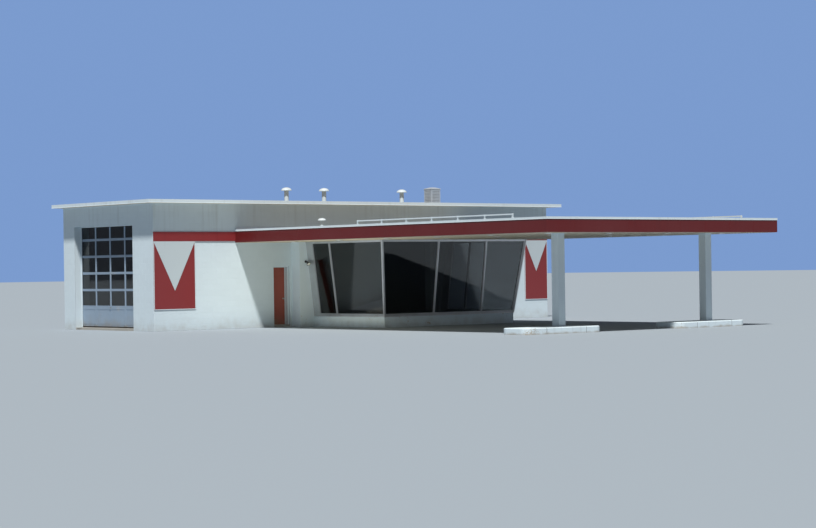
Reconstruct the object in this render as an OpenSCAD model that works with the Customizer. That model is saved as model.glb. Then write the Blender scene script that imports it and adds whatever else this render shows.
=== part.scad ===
// Filling station with a flat drive-through canopy. Units are millimetres, +Z is up.
// The front faces -Y. The origin is the middle of the footprint, on the ground.

/* [High block] */
// Length of the roof, left to right
roof_l = 19900; // [18500:100:24000]
// Depth of the roof, front to back
roof_d = 6600; // [5600:100:8500]
// Height of the roof's top edge above the ground
roof_top = 4610; // [4300:10:5600]
// Thickness of the roof slab
roof_t = 100; // [80:10:250]
// Height of the metal strip round the roof
edge_h = 120; // [100:10:300]
// Thickness of the metal strip round the roof
edge_t = 20; // [16:1:40]
// How far the strip stands above the roof slab
edge_up = 20; // [10:5:60]
// How far the drip at the strip's lower edge kicks out
edge_drip = 8; // [4:1:12]
// Width of the sloped lip that holds the gravel inside the strip
edge_lip = 40; // [20:5:80]
// Overhang of the roof at the front and at both ends
eave = 450; // [300:10:900]
// Overhang of the roof at the back
eave_back = 100; // [50:10:600]
// Thickness of the walls
wall_t = 290; // [200:10:350]
// Height of the floor above the ground
floor_h = 80; // [50:10:150]

/* [Garage door] */
// Clear width of the garage doorway
garage_w = 3940; // [3000:10:4100]
// Distance from the front wall's face to the doorway
garage_side = 1330; // [900:10:1400]
// Height of the doorway's head above the ground
garage_head = 3780; // [3300:10:3900]
// Height of one glazed door section
section_h = 610; // [500:10:650]
// Height of the top door section
top_section_h = 500; // [350:10:600]
// Number of glazed sections in the door, with the top one
glazed_sections = 5; // [3:1:5]
// Panes in each section
panes = 4; // [2:1:6]
// Width of the door's rails and stiles
rail_w = 70; // [40:5:100]
// Thickness of the door
garage_t = 45; // [35:1:60]
// Overlap of the door behind the wall at its sides and top
garage_lap = 40; // [20:5:80]
// Width of the joints between the door's sections
joint_w = 6; // [3:1:10]
// Depth of the joints between the door's sections
joint_d = 10; // [4:1:14]

/* [Restroom door] */
// Distance from the front wall's left corner to the doorway
rest_x = 5180; // [4000:10:5300]
// Width of the door leaf
leaf_w = 610; // [560:10:760]
// Height of the doorway's head above the ground
rest_head = 2240; // [2000:10:2400]
// Thickness of the door leaf
leaf_t = 45; // [35:1:60]
// Running gap round the door leaf
leaf_gap = 8; // [6:1:12]
// Width of the door frame's members
rest_frame_w = 45; // [30:1:70]
// Radius of the hinge pins
pin_r = 6; // [4:0.5:8]
// Running clearance round the hinge pins
pin_gap = 0.3; // [0.2:0.05:0.6]
// Wall of the hinge knuckles round the pins
knuckle_wall = 4; // [3:0.5:6]
// Length of one hinge knuckle
knuckle_l = 40; // [25:1:60]
// Play of the middle knuckles between the end knuckles
knuckle_play = 1; // [0.5:0.1:2]
// Thickness of the hinge plates
hinge_plate_t = 4; // [3:0.5:5]
// Distance of the end hinges from the leaf's top and bottom
hinge_in = 250; // [150:10:400]
// Width of the hinge plates on the leaf
hinge_leaf_w = 45; // [30:1:60]
// Thickness of the door stops
stop_t = 15; // [8:1:25]
// Gap between the closed leaf and the stops
stop_gap = 5; // [2:0.5:8]
// Distance of the knob from the leaf's free edge
knob_in = 70; // [60:5:120]
// Height of the knob above the leaf's bottom
knob_z = 950; // [850:10:1100]
// Radius of the knob
knob_r = 27; // [22:1:32]
// Radius of the round plate behind the knob
rose_r = 30; // [26:1:36]
// Radius of the knob's neck
neck_r = 11; // [8:1:14]
// How far the knob stands out from the leaf
knob_out = 62; // [50:1:75]

/* [Sales office] */
// Distance from the canopy's left edge to the office
office_side = 3160; // [2500:10:3800]
// Width of the office at its sill
office_w = 6200; // [5000:10:6400]
// Depth of the office in front of the wall
office_d = 4550; // [3500:10:6000]
// Height of the sill wall
sill_h = 400; // [250:10:600]
// Thickness of the sill wall
sill_t = 150; // [100:10:200]
// How far the glass leans out at its top
lean = 360; // [100:10:500]
// Width of the window mullions and rails
mullion_w = 70; // [40:5:110]
// Depth of the window frames
mullion_d = 70; // [50:5:110]
// Thickness of the window glass
glass_t = 10; // [6:1:14]
// Width of a bay in the front windows, from the left
front_bay = 2300; // [1500:10:2600]
// Width of the broad jambs where the side windows meet the piers
jamb_w = 380; // [100:10:500]
// Distance from a pier to the first mullion of its side window
side_bay = 1360; // [900:10:1600]
// How far the piers beside the office stand out from the wall
pier_out = 500; // [200:10:700]
// Width of the piers
pier_w = 800; // [500:10:850]

/* [Canopy] */
// Distance from the roof's left end to the canopy
canopy_side = 3940; // [3000:10:5000]
// Width of the canopy
canopy_w = 10600; // [10200:10:13000]
// How far the canopy stands out from the roof's front edge
canopy_out = 15680; // [13000:10:20000]
// Height of the canopy's underside
canopy_under = 3100; // [2900:10:3500]
// Height of the canopy's edge boards
fascia_h = 430; // [300:10:600]
// Thickness of the canopy's edge boards
fascia_t = 40; // [20:5:60]
// Thickness of the ceiling under the canopy
soffit_t = 20; // [10:1:40]
// Thickness of the canopy's roof deck
deck_t = 50; // [30:5:100]
// Depth of the deck's top below the top of the edge boards
deck_down = 30; // [10:5:80]
// Height of the metal cap on the edge boards
cap_h = 40; // [20:5:80]
// How far the cap stands out from the edge boards
cap_out = 15; // [10:1:40]
// How far the cap's leg comes down over the edge boards
cap_leg = 30; // [20:5:60]
// How far the drip at the leg's lower edge kicks out
cap_drip = 5; // [2:1:6]
// Fall of the cap's inner edge towards the deck
cap_fall = 12; // [5:1:16]

/* [Canopy frame] */
// Width of the girders' flanges
flange_w = 200; // [120:10:300]
// Thickness of the girders' flanges
flange_t = 16; // [8:1:25]
// Thickness of the girders' webs
web_t = 12; // [6:1:20]
// Number of cross beams
cross_count = 7; // [5:1:11]
// Depth of the cross beams
cross_h = 200; // [120:10:220]
// Width of the cross beams' flanges
cross_w = 70; // [40:5:100]
// Thickness of the cross beams' metal
cross_t = 8; // [5:1:14]
// Clearance round the girders' flanges where the cross beams are notched
cope_gap = 8; // [3:1:15]

/* [Columns and islands] */
// Distance from the canopy's side edges to the columns' centres
column_side = 1900; // [1500:10:3000]
// Distance from the canopy's front edge to the columns' centres
column_in = 1500; // [1200:10:2500]
// Width of the square columns
column_w = 290; // [200:10:400]
// Wall thickness of the columns
column_wall = 10; // [6:1:16]
// Thickness of the columns' base plates
base_t = 20; // [12:1:40]
// Width of the base plates
base_w = 420; // [420:10:600]
// Gap between the columns and the ceiling round them
column_gap = 5; // [2:1:10]
// Joint between the columns and the islands cast round them
island_joint = 0.5; // [0.3:0.1:0.9]
// Length of each island
island_l = 3300; // [3000:100:6000]
// How far each island's middle lies to the left of its column
island_shift = 300; // [0:50:600]
// Width of each island
island_w = 1200; // [900:10:1500]
// Height of each island
island_h = 200; // [120:10:220]
// Corner radius of the islands
island_r = 300; // [100:10:450]
// Width of the slope along the islands' top edges
island_edge = 20; // [10:1:40]

/* [Trim] */
// Height of the coloured band on the wall
band_h = 330; // [200:10:380]
// Height of the band's underside above the ground
band_z = 3150; // [2950:10:3400]
// Thickness of the band
band_t = 30; // [15:1:60]
// Width of the left wall panel
panel_left_w = 1740; // [1200:10:2200]
// Width of the right wall panel
panel_right_w = 1250; // [900:10:2000]
// Height of the panels' lower edge
panel_z = 750; // [300:10:1200]
// Height of the triangles for each millimetre of their width
triangle_slope = 1; // [0.8:0.05:1.1]
// Thickness of the panels
panel_t = 20; // [10:1:40]
// Thickness of the triangles on the panels
triangle_t = 8; // [4:1:20]
// Diameter of the ceiling lights
light_d = 260; // [150:10:400]
// Ceiling lights across the canopy
light_columns = 4; // [2:1:6]
// Ceiling lights along the canopy
light_rows = 6; // [3:1:8]
// Width of the rims round the ceiling lights
light_rim = 25; // [10:1:40]
// Depth of the rims below the ceiling
light_rim_h = 14; // [8:1:20]
// How far the lenses hang below the ceiling
light_drop = 30; // [20:1:50]
// Length of the bare rails on the canopy's sides
rail_l = 7600; // [4000:100:9000]
// Number of posts under each rail
rail_posts = 7; // [3:1:12]
// Height of the posts under the rails
rail_post_h = 90; // [40:5:150]
// Width of the rails and their posts
rail_bar = 40; // [20:5:60]
// Height of the wall lamp above the ground
lamp_z = 2380; // [2000:10:2800]
// Distance from the office to the wall lamp
lamp_side = 380; // [200:10:450]
// Radius of the lamp's plate on the wall
lamp_plate_r = 45; // [35:1:60]
// Thickness of the lamp's plate
lamp_plate_t = 20; // [10:1:30]
// Radius of the lamp's arm
lamp_arm_r = 14; // [10:1:18]
// Length of the lamp's arm
lamp_arm_l = 95; // [80:1:130]
// Radius of the shade where it meets the arm
lamp_neck_r = 28; // [22:1:35]
// Radius of the shade's mouth
lamp_mouth_r = 75; // [60:1:90]
// Length of the shade
lamp_shade_l = 140; // [100:1:180]
// Slope of the shade below the level
lamp_tilt = 40; // [20:1:60]

/* [Roof pieces] */
// Distance of the vents and the cooler from the roof's front edge
roof_row_y = 2510; // [1500:10:4000]
// Distance of the first roof vent from the roof's left end
vent_a_x = 7800; // [7000:100:8500]
// Distance of the second roof vent from the roof's left end
vent_b_x = 9600; // [9000:100:11000]
// Distance of the third roof vent from the roof's left end
vent_c_x = 13500; // [12000:100:14000]
// Height of the roof vents above the roof slab
vent_h = 630; // [400:10:900]
// Radius of a vent's pipe
vent_r = 85; // [50:5:120]
// Radius of a vent's cap
vent_cap_r = 200; // [150:5:300]
// Height of a vent's domed cap
vent_dome_h = 120; // [80:5:150]
// Height of the sloped boots round the vents' feet
boot_h = 70; // [40:5:100]
// How far the boots' flanges reach round the pipes
boot_out = 60; // [30:5:90]
// Thickness of the boots' flanges and of the caps' metal
vent_metal = 6; // [4:1:10]
// Width of the roof cooler
cooler_w = 460; // [350:10:900]
// Height of the roof cooler
cooler_h = 730; // [500:10:900]
// Distance of the cooler from the roof's left end
cooler_x = 15100; // [14500:100:16500]
// Height of the kerb under the cooler
cooler_kerb_h = 90; // [60:5:120]
// How far the kerb and the lid stand out from the cooler's sides
cooler_out = 15; // [8:1:25]
// Height of the lid's upright edge
lid_edge = 30; // [15:1:50]
// Height of the lid's slopes
lid_rise = 50; // [20:5:80]
// Number of louvres in each side
louvres = 8; // [4:1:12]
// Height of each louvre's slot
louvre_gap = 26; // [12:1:34]
// Depth of the slots
louvre_d = 30; // [15:1:50]
// Width of the cooler's corner posts
cooler_post = 40; // [25:5:60]
// Distance of the canopy's vent from the canopy's left edge
low_vent_x = 2060; // [1500:10:3000]
// Distance of the canopy's vent from the front wall
low_vent_out = 2450; // [1500:50:3500]
// Height of the canopy's vent above its deck
low_vent_h = 420; // [300:10:600]
// Radius of the canopy vent's pipe
low_vent_r = 70; // [50:5:90]
// Radius of the canopy vent's cap
low_vent_cap_r = 150; // [120:5:220]
// Height of the canopy vent's domed cap
low_vent_dome_h = 90; // [60:5:120]

/* [Hidden] */
$fn = 48;
eps = 1;

white = "#dfe3e2";
shade_white = "#c9ccc4";
red = "#a8262c";
cream = "#cfc6b4";
steel = "#9aa0a3";
dark_steel = "#3b3f42";
glass_tint = [0.16, 0.19, 0.22, 0.45];

// Walls, measured from the roof's front left corner
x_left = eave;
x_right = roof_l - eave;
y_front = eave;
y_back = roof_d - eave_back;
slab_top = roof_top - edge_up;
wall_top = slab_top - roof_t;

// Garage doorway in the left end wall, with the door against the wall's inner face
garage_y = y_front + garage_side;
door_w = garage_w + 2 * garage_lap;
door_top = garage_head + garage_lap;
glass_from = garage_head - top_section_h - (glazed_sections - 1) * section_h;

// Restroom doorway in the front wall
rest_open_w = leaf_w + 2 * (leaf_gap + rest_frame_w);
rest_x0 = x_left + rest_x;
rest_x1 = rest_x0 + rest_open_w;
leaf_x = rest_x0 + rest_frame_w + leaf_gap;
leaf_z = floor_h + leaf_gap;
leaf_h = rest_head - rest_frame_w - leaf_gap - leaf_z;
leaf_y = y_front + wall_t - leaf_t;
knuckle_r = pin_r + knuckle_wall;
hinge_y = y_front + wall_t + knuckle_r;
hinge_x = leaf_x - leaf_gap / 2;
hinge_levels = [leaf_z + hinge_in, leaf_z + leaf_h / 2, leaf_z + leaf_h - hinge_in];

// Canopy
canopy_x0 = canopy_side;
canopy_x1 = canopy_side + canopy_w;
canopy_y0 = -canopy_out;
canopy_top = canopy_under + fascia_h;
soffit_top = canopy_under + soffit_t;
deck_top = canopy_top - deck_down;
girder_h = deck_top - deck_t - soffit_top;
column_x = [canopy_x0 + column_side, canopy_x1 - column_side];
column_y = canopy_y0 + column_in;

// Office
office_x0 = canopy_x0 + office_side;
office_x1 = office_x0 + office_w;
office_y0 = y_front - office_d;
pier_y = y_front - pier_out;
glass_h = canopy_under - sill_h;
slope_h = sqrt(glass_h * glass_h + lean * lean);
cant = atan(lean / glass_h);

module placed() {
    translate([-roof_l / 2, (canopy_out + cap_out - roof_d) / 2, 0]) children();
}

module block(x0, x1, y0, y1, z0, z1) {
    translate([x0, y0, z0]) cube([x1 - x0, y1 - y0, z1 - z0]);
}

// The section of a block whose two sides, or whose front side alone, follow an outline.
// Each of the outline's points is [distance inwards, height], from the bottom to the top.
function two_sided(w, side) = concat(side,
    [for (i = [len(side) - 1 : -1 : 0]) [w - side[i][0], side[i][1]]]);
function one_sided(w, side) = concat(side, [[w, side[len(side) - 1][1]], [w, side[0][1]]]);

// A block that follows an outline on its sides, mitred at its corners
module moulded(l, d, side, plain_back = false) {
    intersection() {
        rotate([90, 0, 90]) linear_extrude(l)
            polygon(plain_back ? one_sided(d, side) : two_sided(d, side));
        translate([0, d, 0]) rotate([90, 0, 0]) linear_extrude(d) polygon(two_sided(l, side));
    }
}

// Floor and walls
module floor_slab() {
    color(steel) placed() union() {
        block(x_left + wall_t, x_right - wall_t, y_front + wall_t, y_back - wall_t, 0, floor_h);
        block(office_x0 + sill_t, office_x1 - sill_t, office_y0 + sill_t, y_front + wall_t + eps, 0, floor_h);
        block(x_left, x_left + wall_t + eps, garage_y, garage_y + garage_w, 0, floor_h);
        block(rest_x0, rest_x1, y_front, y_front + wall_t + eps, 0, floor_h);
    }
}

module end_wall_front() {
    color(white) placed()
        block(x_left, x_left + wall_t, y_front, garage_y, 0, wall_top);
}

module end_wall_back() {
    color(white) placed()
        block(x_left, x_left + wall_t, garage_y + garage_w, y_back, 0, wall_top);
}

module end_wall_lintel() {
    color(white) placed()
        block(x_left, x_left + wall_t, garage_y, garage_y + garage_w, garage_head, wall_top);
}

module far_end_wall() {
    color(white) placed()
        block(x_right - wall_t, x_right, y_front, y_back, 0, wall_top);
}

module back_wall() {
    color(white) placed()
        block(x_left + wall_t, x_right - wall_t, y_back - wall_t, y_back, 0, wall_top);
}

module front_piece(x0, x1, z0) {
    color(white) placed()
        block(x0, x1, y_front, y_front + wall_t, z0, wall_top);
}

module front_wall_left() {
    front_piece(x_left + wall_t, rest_x0, 0);
}

module front_wall_over_door() {
    front_piece(rest_x0, rest_x1, rest_head);
}

module front_wall_middle() {
    front_piece(rest_x1, office_x0 + sill_t, 0);
}

module front_wall_over_office() {
    front_piece(office_x0 + sill_t, office_x1 - sill_t, canopy_under);
}

module front_wall_right() {
    front_piece(office_x1 - sill_t, x_right - wall_t, 0);
}

module office_piers() {
    color(white) placed() for (x = [office_x0 + sill_t - pier_w, office_x1 - sill_t])
        block(x, x + pier_w, pier_y, y_front, 0, canopy_under);
}

// Garage door: a lattice of rails and stiles, glass in it, and a solid bottom section.
// In the door's own plane, u runs to the back and v runs up.
pane_u = (door_w - (panes + 1) * rail_w) / panes;

function section_z(i) = i < glazed_sections ? glass_from + i * section_h : door_top;

module garage_plane(t) {
    placed() translate([x_left + wall_t, garage_y - garage_lap, 0])
        rotate([0, 0, 90]) rotate([90, 0, 0]) linear_extrude(t) children();
}

module pane_holes() {
    for (i = [0 : glazed_sections - 1], j = [0 : panes - 1])
        translate([rail_w + j * (pane_u + rail_w), section_z(i) + rail_w / 2])
            square([pane_u, section_z(i + 1) - section_z(i) - rail_w]);
}

// Grooves where the door's sections meet, in its outer and in its inner face
module section_joints() {
    for (side = [-eps, garage_t - joint_d], i = [0 : glazed_sections - 1])
        translate([side, 0, section_z(i) - joint_w / 2]) garage_plane(joint_d + eps)
            translate([-eps, 0]) square([door_w + 2 * eps, joint_w]);
}

module garage_door_frame() {
    color(shade_white) difference() {
        garage_plane(garage_t) difference() {
            translate([0, glass_from]) square([door_w, door_top + rail_w / 2 - glass_from]);
            pane_holes();
        }
        section_joints();
    }
}

module garage_door_glass() {
    color(glass_tint) translate([(garage_t - glass_t) / 2, 0, 0]) garage_plane(glass_t) pane_holes();
}

module garage_door_panel() {
    color("#a9b9cb") difference() {
        garage_plane(garage_t) translate([0, floor_h]) square([door_w, glass_from - floor_h]);
        section_joints();
    }
}

// Roof
module roof_slab() {
    color(cream) placed()
        block(edge_t, roof_l - edge_t, edge_t, roof_d - edge_t, wall_top, slab_top);
}

// A strip with a drip along its foot, and a sloped lip inside that lies on the slab
module roof_edge() {
    foot = roof_top - edge_h;
    outside = [[0, foot], [edge_drip, foot + 2 * edge_drip], [edge_drip, roof_top]];
    inside = [[edge_t, foot - eps], [edge_t, slab_top], [edge_t + edge_lip, slab_top],
              [edge_t, roof_top], [edge_t, roof_top + eps]];
    color(white) placed() difference() {
        moulded(roof_l, roof_d, outside);
        moulded(roof_l, roof_d, inside);
    }
}

// A vent: a flanged boot, a pipe and a hollow domed cap
module mushroom(h, pipe_r, cap_r, dome_h) {
    rim_z = h - dome_h;
    hollow_r = cap_r - vent_metal;
    hollow_h = dome_h - vent_metal;
    steps = 6;
    turn = acos(pipe_r / hollow_r) / steps;
    rotate_extrude() polygon(concat(
        [[0, 0], [pipe_r + boot_out, 0], [pipe_r + boot_out, vent_metal],
         [pipe_r + vent_metal, vent_metal + boot_out / 4], [pipe_r, boot_h]],
        [for (i = [steps : -1 : 0]) [hollow_r * cos(turn * i), rim_z + hollow_h * sin(turn * i)]],
        [for (a = [0 : 15 : 75]) [cap_r * cos(a), rim_z + dome_h * sin(a)]],
        [[0, h]]
    ));
}

module roof_vents() {
    color(white) placed() {
        for (x = [vent_a_x, vent_b_x, vent_c_x])
            translate([x, roof_row_y, slab_top]) mushroom(vent_h, vent_r, vent_cap_r, vent_dome_h);
        translate([canopy_x0 + low_vent_x, y_front - low_vent_out, deck_top])
            mushroom(low_vent_h, low_vent_r, low_vent_cap_r, low_vent_dome_h);
    }
}

// One louvre's slot in a side at y = 0: it rises inwards, so rain runs out
module louvre_slot(l) {
    rotate([90, 0, 90]) linear_extrude(l)
        polygon([[-eps, 0], [louvre_d, louvre_gap / 2], [louvre_d, louvre_gap * 3 / 2], [-eps, louvre_gap]]);
}

// A louvred box on a kerb, with a lid that slopes to its four sides
module roof_cooler() {
    wide = cooler_w + 2 * cooler_out;
    lid_z = cooler_h - lid_edge - lid_rise;
    foot = cooler_kerb_h + cooler_post;
    pitch = (lid_z - cooler_post - foot) / louvres;
    color(steel) placed() translate([cooler_x, roof_row_y, slab_top]) {
        translate([-wide / 2, -wide / 2, 0]) cube([wide, wide, cooler_kerb_h]);
        translate([-wide / 2, -wide / 2, lid_z])
            moulded(wide, wide, [[0, 0], [0, lid_edge], [wide / 3, lid_edge + lid_rise]]);
        difference() {
            translate([-cooler_w / 2, -cooler_w / 2, 0]) cube([cooler_w, cooler_w, lid_z + eps]);
            for (turn = [0 : 90 : 270], i = [0 : louvres - 1])
                rotate([0, 0, turn])
                    translate([cooler_post - cooler_w / 2, -cooler_w / 2, foot + i * pitch])
                        louvre_slot(cooler_w - 2 * cooler_post);
        }
    }
}

// Coloured band and panels on the front wall
module wall_bands() {
    color(red) placed() {
        block(x_left, canopy_x0, y_front - band_t, y_front, band_z, band_z + band_h);
        block(canopy_x1, x_right, y_front - band_t, y_front, band_z, band_z + band_h);
    }
}

panel_top = band_z;
panel_starts = [x_left, x_right - panel_right_w];
panel_widths = [panel_left_w, panel_right_w];

module on_front(x, depth, t) {
    placed() translate([x, y_front - depth, 0]) rotate([90, 0, 0]) linear_extrude(t) children();
}

module wall_panels() {
    color(red) for (i = [0, 1])
        on_front(panel_starts[i], 0, panel_t)
            translate([0, panel_z]) square([panel_widths[i], panel_top - panel_z]);
}

module panel_triangles() {
    color(white) for (i = [0, 1])
        on_front(panel_starts[i], panel_t, triangle_t)
            polygon([[0, panel_top], [panel_widths[i], panel_top],
                     [panel_widths[i] / 2, panel_top - panel_widths[i] * triangle_slope]]);
}

// Restroom door, hung on three pin hinges and opening inwards
module restroom_frame() {
    color(shade_white) placed() {
        difference() {
            block(rest_x0, rest_x1, y_front + wall_t / 4, y_front + wall_t, floor_h, rest_head);
            block(rest_x0 + rest_frame_w, rest_x1 - rest_frame_w, y_front, y_front + wall_t + eps,
                  floor_h - eps, rest_head - rest_frame_w);
        }
        difference() {
            block(rest_x0 + rest_frame_w - eps, rest_x1 - rest_frame_w + eps,
                  leaf_y - stop_gap - stop_t, leaf_y - stop_gap, floor_h, rest_head - rest_frame_w + eps);
            block(rest_x0 + rest_frame_w + stop_t, rest_x1 - rest_frame_w - stop_t,
                  y_front, y_front + wall_t, floor_h - eps, rest_head - rest_frame_w - stop_t);
        }
    }
}

module restroom_door() {
    color(red) placed()
        block(leaf_x, leaf_x + leaf_w, leaf_y, leaf_y + leaf_t, leaf_z, leaf_z + leaf_h);
}

// A round plate, a neck and a ball flattened at its front
module knob_half() {
    ball_h = knob_out / 2;
    rotate_extrude() polygon(concat(
        [[0, 0], [rose_r, 0], [rose_r, 3], [neck_r + 4, 8], [neck_r, 12]],
        [for (a = [-60 : 20 : 60]) [knob_r * cos(a), knob_out - ball_h / 2 + ball_h / 2 * sin(a) / sin(60)]],
        [[0, knob_out]]
    ));
}

module door_knob() {
    color(steel) placed() translate([leaf_x + leaf_w - knob_in, leaf_y, leaf_z + knob_z]) {
        rotate([90, 0, 0]) knob_half();
        translate([0, leaf_t, 0]) rotate([-90, 0, 0]) knob_half();
    }
}

module hinge_pins() {
    color(steel) placed() for (z = hinge_levels) translate([hinge_x, hinge_y, z]) {
        cylinder(r = pin_r, h = 3 * knuckle_l, center = true);
        for (s = [-1, 1]) translate([0, 0, s * knuckle_l]) {
            cylinder(r = knuckle_r, h = knuckle_l, center = true);
            translate([-rest_frame_w, -knuckle_r, -knuckle_l / 2])
                cube([rest_frame_w - leaf_gap / 2 + knuckle_wall, hinge_plate_t, knuckle_l]);
        }
    }
}

module hinge_knuckles() {
    inner_l = knuckle_l - knuckle_play;
    color(steel) placed() for (z = hinge_levels) translate([hinge_x, hinge_y, z]) difference() {
        union() {
            cylinder(r = knuckle_r, h = inner_l, center = true);
            translate([0, -knuckle_r, -inner_l / 2]) cube([hinge_leaf_w, hinge_plate_t, inner_l]);
        }
        cylinder(r = pin_r + pin_gap, h = 2 * knuckle_l, center = true);
    }
}

// Office: a sill wall with canted windows. In a window's own plane, u runs along the sill
// and v up the slope. The corners are mitred on a vertical plane at 45 degrees.
module office_sill() {
    color(shade_white) placed() difference() {
        block(office_x0, office_x1, office_y0, pier_y, 0, sill_h);
        block(office_x0 + sill_t, office_x1 - sill_t, office_y0 + sill_t, pier_y + eps, -eps, sill_h + eps);
    }
}

// One bay between u0 and u1; its ends follow the corner's slant where a or b is not 0
function bay(u0, u1, a, b) = let (v0 = mullion_w, v1 = slope_h - mullion_w) [
    [u0 - a * v0 / slope_h, v0], [u1 + b * v0 / slope_h, v0],
    [u1 + b * v1 / slope_h, v1], [u0 - a * v1 / slope_h, v1]
];

front_stops = [0, front_bay, 2 * front_bay, office_w];
side_stops = [0, side_bay, office_d - pier_out];

module bays(stops, a, b, first_w) {
    last = len(stops) - 2;
    for (i = [0 : last])
        polygon(bay(stops[i] + (i == 0 ? first_w : mullion_w / 2),
                    stops[i + 1] - (i == last ? mullion_w : mullion_w / 2),
                    i == 0 ? a : 0, i == last ? b : 0));
}

// The frame is drawn too wide and too high, and is cut to its seats by a sector
module window_frame(stops, a, b, first_w) {
    l = stops[len(stops) - 1];
    spare = 2 * lean;
    translate([0, 0, -mullion_d]) linear_extrude(mullion_d) difference() {
        translate([-spare, -mullion_w / 2]) square([l + 2 * spare, slope_h + mullion_w]);
        bays(stops, a, b, first_w);
    }
}

module window_glass(stops, a, b, first_w) {
    translate([0, 0, -(mullion_d + glass_t) / 2]) linear_extrude(glass_t) bays(stops, a, b, first_w);
}

module front_plane() {
    placed() translate([office_x0, office_y0, sill_h]) rotate([90 + cant, 0, 0]) children();
}

module left_plane() {
    placed() translate([office_x0, pier_y, sill_h])
        rotate([0, 0, -90]) rotate([90 + cant, 0, 0]) children();
}

module right_side() {
    middle = (office_x0 + office_x1) / 2 - roof_l / 2;
    translate([2 * middle, 0, 0]) mirror([1, 0, 0]) children();
}

// Keeps what lies between the ceiling and the sill, on the front window's side of the corners
module front_sector() {
    m = 1000;
    placed() translate([0, 0, sill_h]) linear_extrude(glass_h) polygon([
        [office_x0 - m, office_y0 - m], [office_x1 + m, office_y0 - m],
        [office_x1 - m, office_y0 + m], [office_x0 + m, office_y0 + m]
    ]);
}

module side_sector() {
    m = 1000;
    placed() translate([0, 0, sill_h]) linear_extrude(glass_h) polygon([
        [office_x0 - m, office_y0 - m], [office_x0 + m, office_y0 + m],
        [office_x0 + m, pier_y], [office_x0 - m, pier_y]
    ]);
}

module office_frame_left() {
    color(steel) intersection() {
        left_plane() window_frame(side_stops, 0, lean, jamb_w);
        side_sector();
    }
}

module office_frame_front() {
    color(steel) intersection() {
        front_plane() window_frame(front_stops, lean, lean, mullion_w);
        front_sector();
    }
}

module office_frame_right() {
    right_side() office_frame_left();
}

module office_glass() {
    color(glass_tint) {
        front_plane() window_glass(front_stops, lean, lean, mullion_w);
        left_plane() window_glass(side_stops, 0, lean, jamb_w);
        right_side() left_plane() window_glass(side_stops, 0, lean, jamb_w);
    }
}

// Canopy
module canopy_deck() {
    color(steel) placed()
        block(canopy_x0 + fascia_t, canopy_x1 - fascia_t, canopy_y0 + fascia_t, y_front,
              deck_top - deck_t, deck_top);
}

module canopy_soffit() {
    hole = column_w + 2 * column_gap;
    color(cream) placed() difference() {
        block(canopy_x0 + fascia_t, canopy_x1 - fascia_t, canopy_y0 + fascia_t, y_front,
              canopy_under, soffit_top);
        for (x = column_x)
            translate([x - hole / 2, column_y - hole / 2, canopy_under - eps])
                cube([hole, hole, soffit_t + 2 * eps]);
    }
}

module girder(x) {
    y0 = canopy_y0 + fascia_t;
    block(x - flange_w / 2, x + flange_w / 2, y0, y_front, soffit_top, soffit_top + flange_t);
    block(x - flange_w / 2, x + flange_w / 2, y0, y_front,
          soffit_top + girder_h - flange_t, soffit_top + girder_h);
    block(x - web_t / 2, x + web_t / 2, y0, y_front, soffit_top, soffit_top + girder_h);
}

module canopy_girders() {
    color(dark_steel) placed() for (x = column_x) girder(x);
}

// Cross beams: channels in three runs between the edge boards and the girders' webs,
// notched clear of the girders' top flanges
module channel(l) {
    rotate([90, 0, 90]) linear_extrude(l) difference() {
        square([cross_w, cross_h]);
        translate([cross_t, cross_t]) square([cross_w, cross_h - 2 * cross_t]);
    }
}

module cross_beams() {
    pitch = (canopy_out + y_front - fascia_t - cross_w) / (cross_count - 1);
    beam_z = soffit_top + girder_h - cross_h;
    starts = [canopy_x0 + fascia_t, column_x[0] + web_t / 2, column_x[1] + web_t / 2];
    ends = [column_x[0] - web_t / 2, column_x[1] - web_t / 2, canopy_x1 - fascia_t];
    notch_w = flange_w + 2 * cope_gap;
    notch_h = flange_t + cope_gap;
    color(dark_steel) placed() difference() {
        for (run = [0 : 2], i = [0 : cross_count - 1])
            translate([starts[run], canopy_y0 + fascia_t + i * pitch, beam_z])
                channel(ends[run] - starts[run]);
        for (x = column_x)
            block(x - notch_w / 2, x + notch_w / 2, canopy_y0, y_front + eps,
                  beam_z + cross_h - notch_h, beam_z + cross_h + eps);
    }
}

module fascia_left() {
    color(red) placed()
        block(canopy_x0, canopy_x0 + fascia_t, canopy_y0 + fascia_t, y_front, canopy_under, canopy_top);
}

module fascia_front() {
    color(red) placed()
        block(canopy_x0, canopy_x1, canopy_y0, canopy_y0 + fascia_t, canopy_under, canopy_top);
}

module fascia_right() {
    color(red) placed()
        block(canopy_x1 - fascia_t, canopy_x1, canopy_y0 + fascia_t, y_front, canopy_under, canopy_top);
}

// Folded metal over the edge boards: a leg with a drip outside, a flat top and a sloped inner edge
module canopy_cap() {
    l = canopy_w + 2 * cap_out;
    d = canopy_out + cap_out + y_front;
    foot = canopy_top - cap_leg;
    top = canopy_top + cap_h;
    flat = cap_out + fascia_t;
    back = flat + cap_out;
    outside = [[0, foot], [cap_drip, foot + 2 * cap_drip], [cap_drip, top]];
    inside = [[cap_out, foot - eps], [cap_out, canopy_top], [back, canopy_top],
              [back, top - cap_fall], [flat, top], [flat, top + eps]];
    color(shade_white) placed() translate([canopy_x0 - cap_out, canopy_y0 - cap_out, 0]) difference() {
        moulded(l, d, outside, plain_back = true);
        moulded(l, d + eps, inside, plain_back = true);
    }
}

// A ceiling light: a bevelled rim round a shallow domed lens
module soffit_light() {
    r = light_d / 2;
    lens_r = r - light_rim;
    lens_z = light_rim_h / 2;
    rotate_extrude() polygon(concat(
        [[0, 0], [r, 0], [r, light_rim_h / 3], [r - light_rim / 3, light_rim_h],
         [r - light_rim * 2 / 3, light_rim_h], [lens_r, lens_z]],
        [for (a = [20 : 20 : 80]) [lens_r * cos(a), lens_z + (light_drop - lens_z) * sin(a)]],
        [[0, light_drop]]
    ));
}

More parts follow.
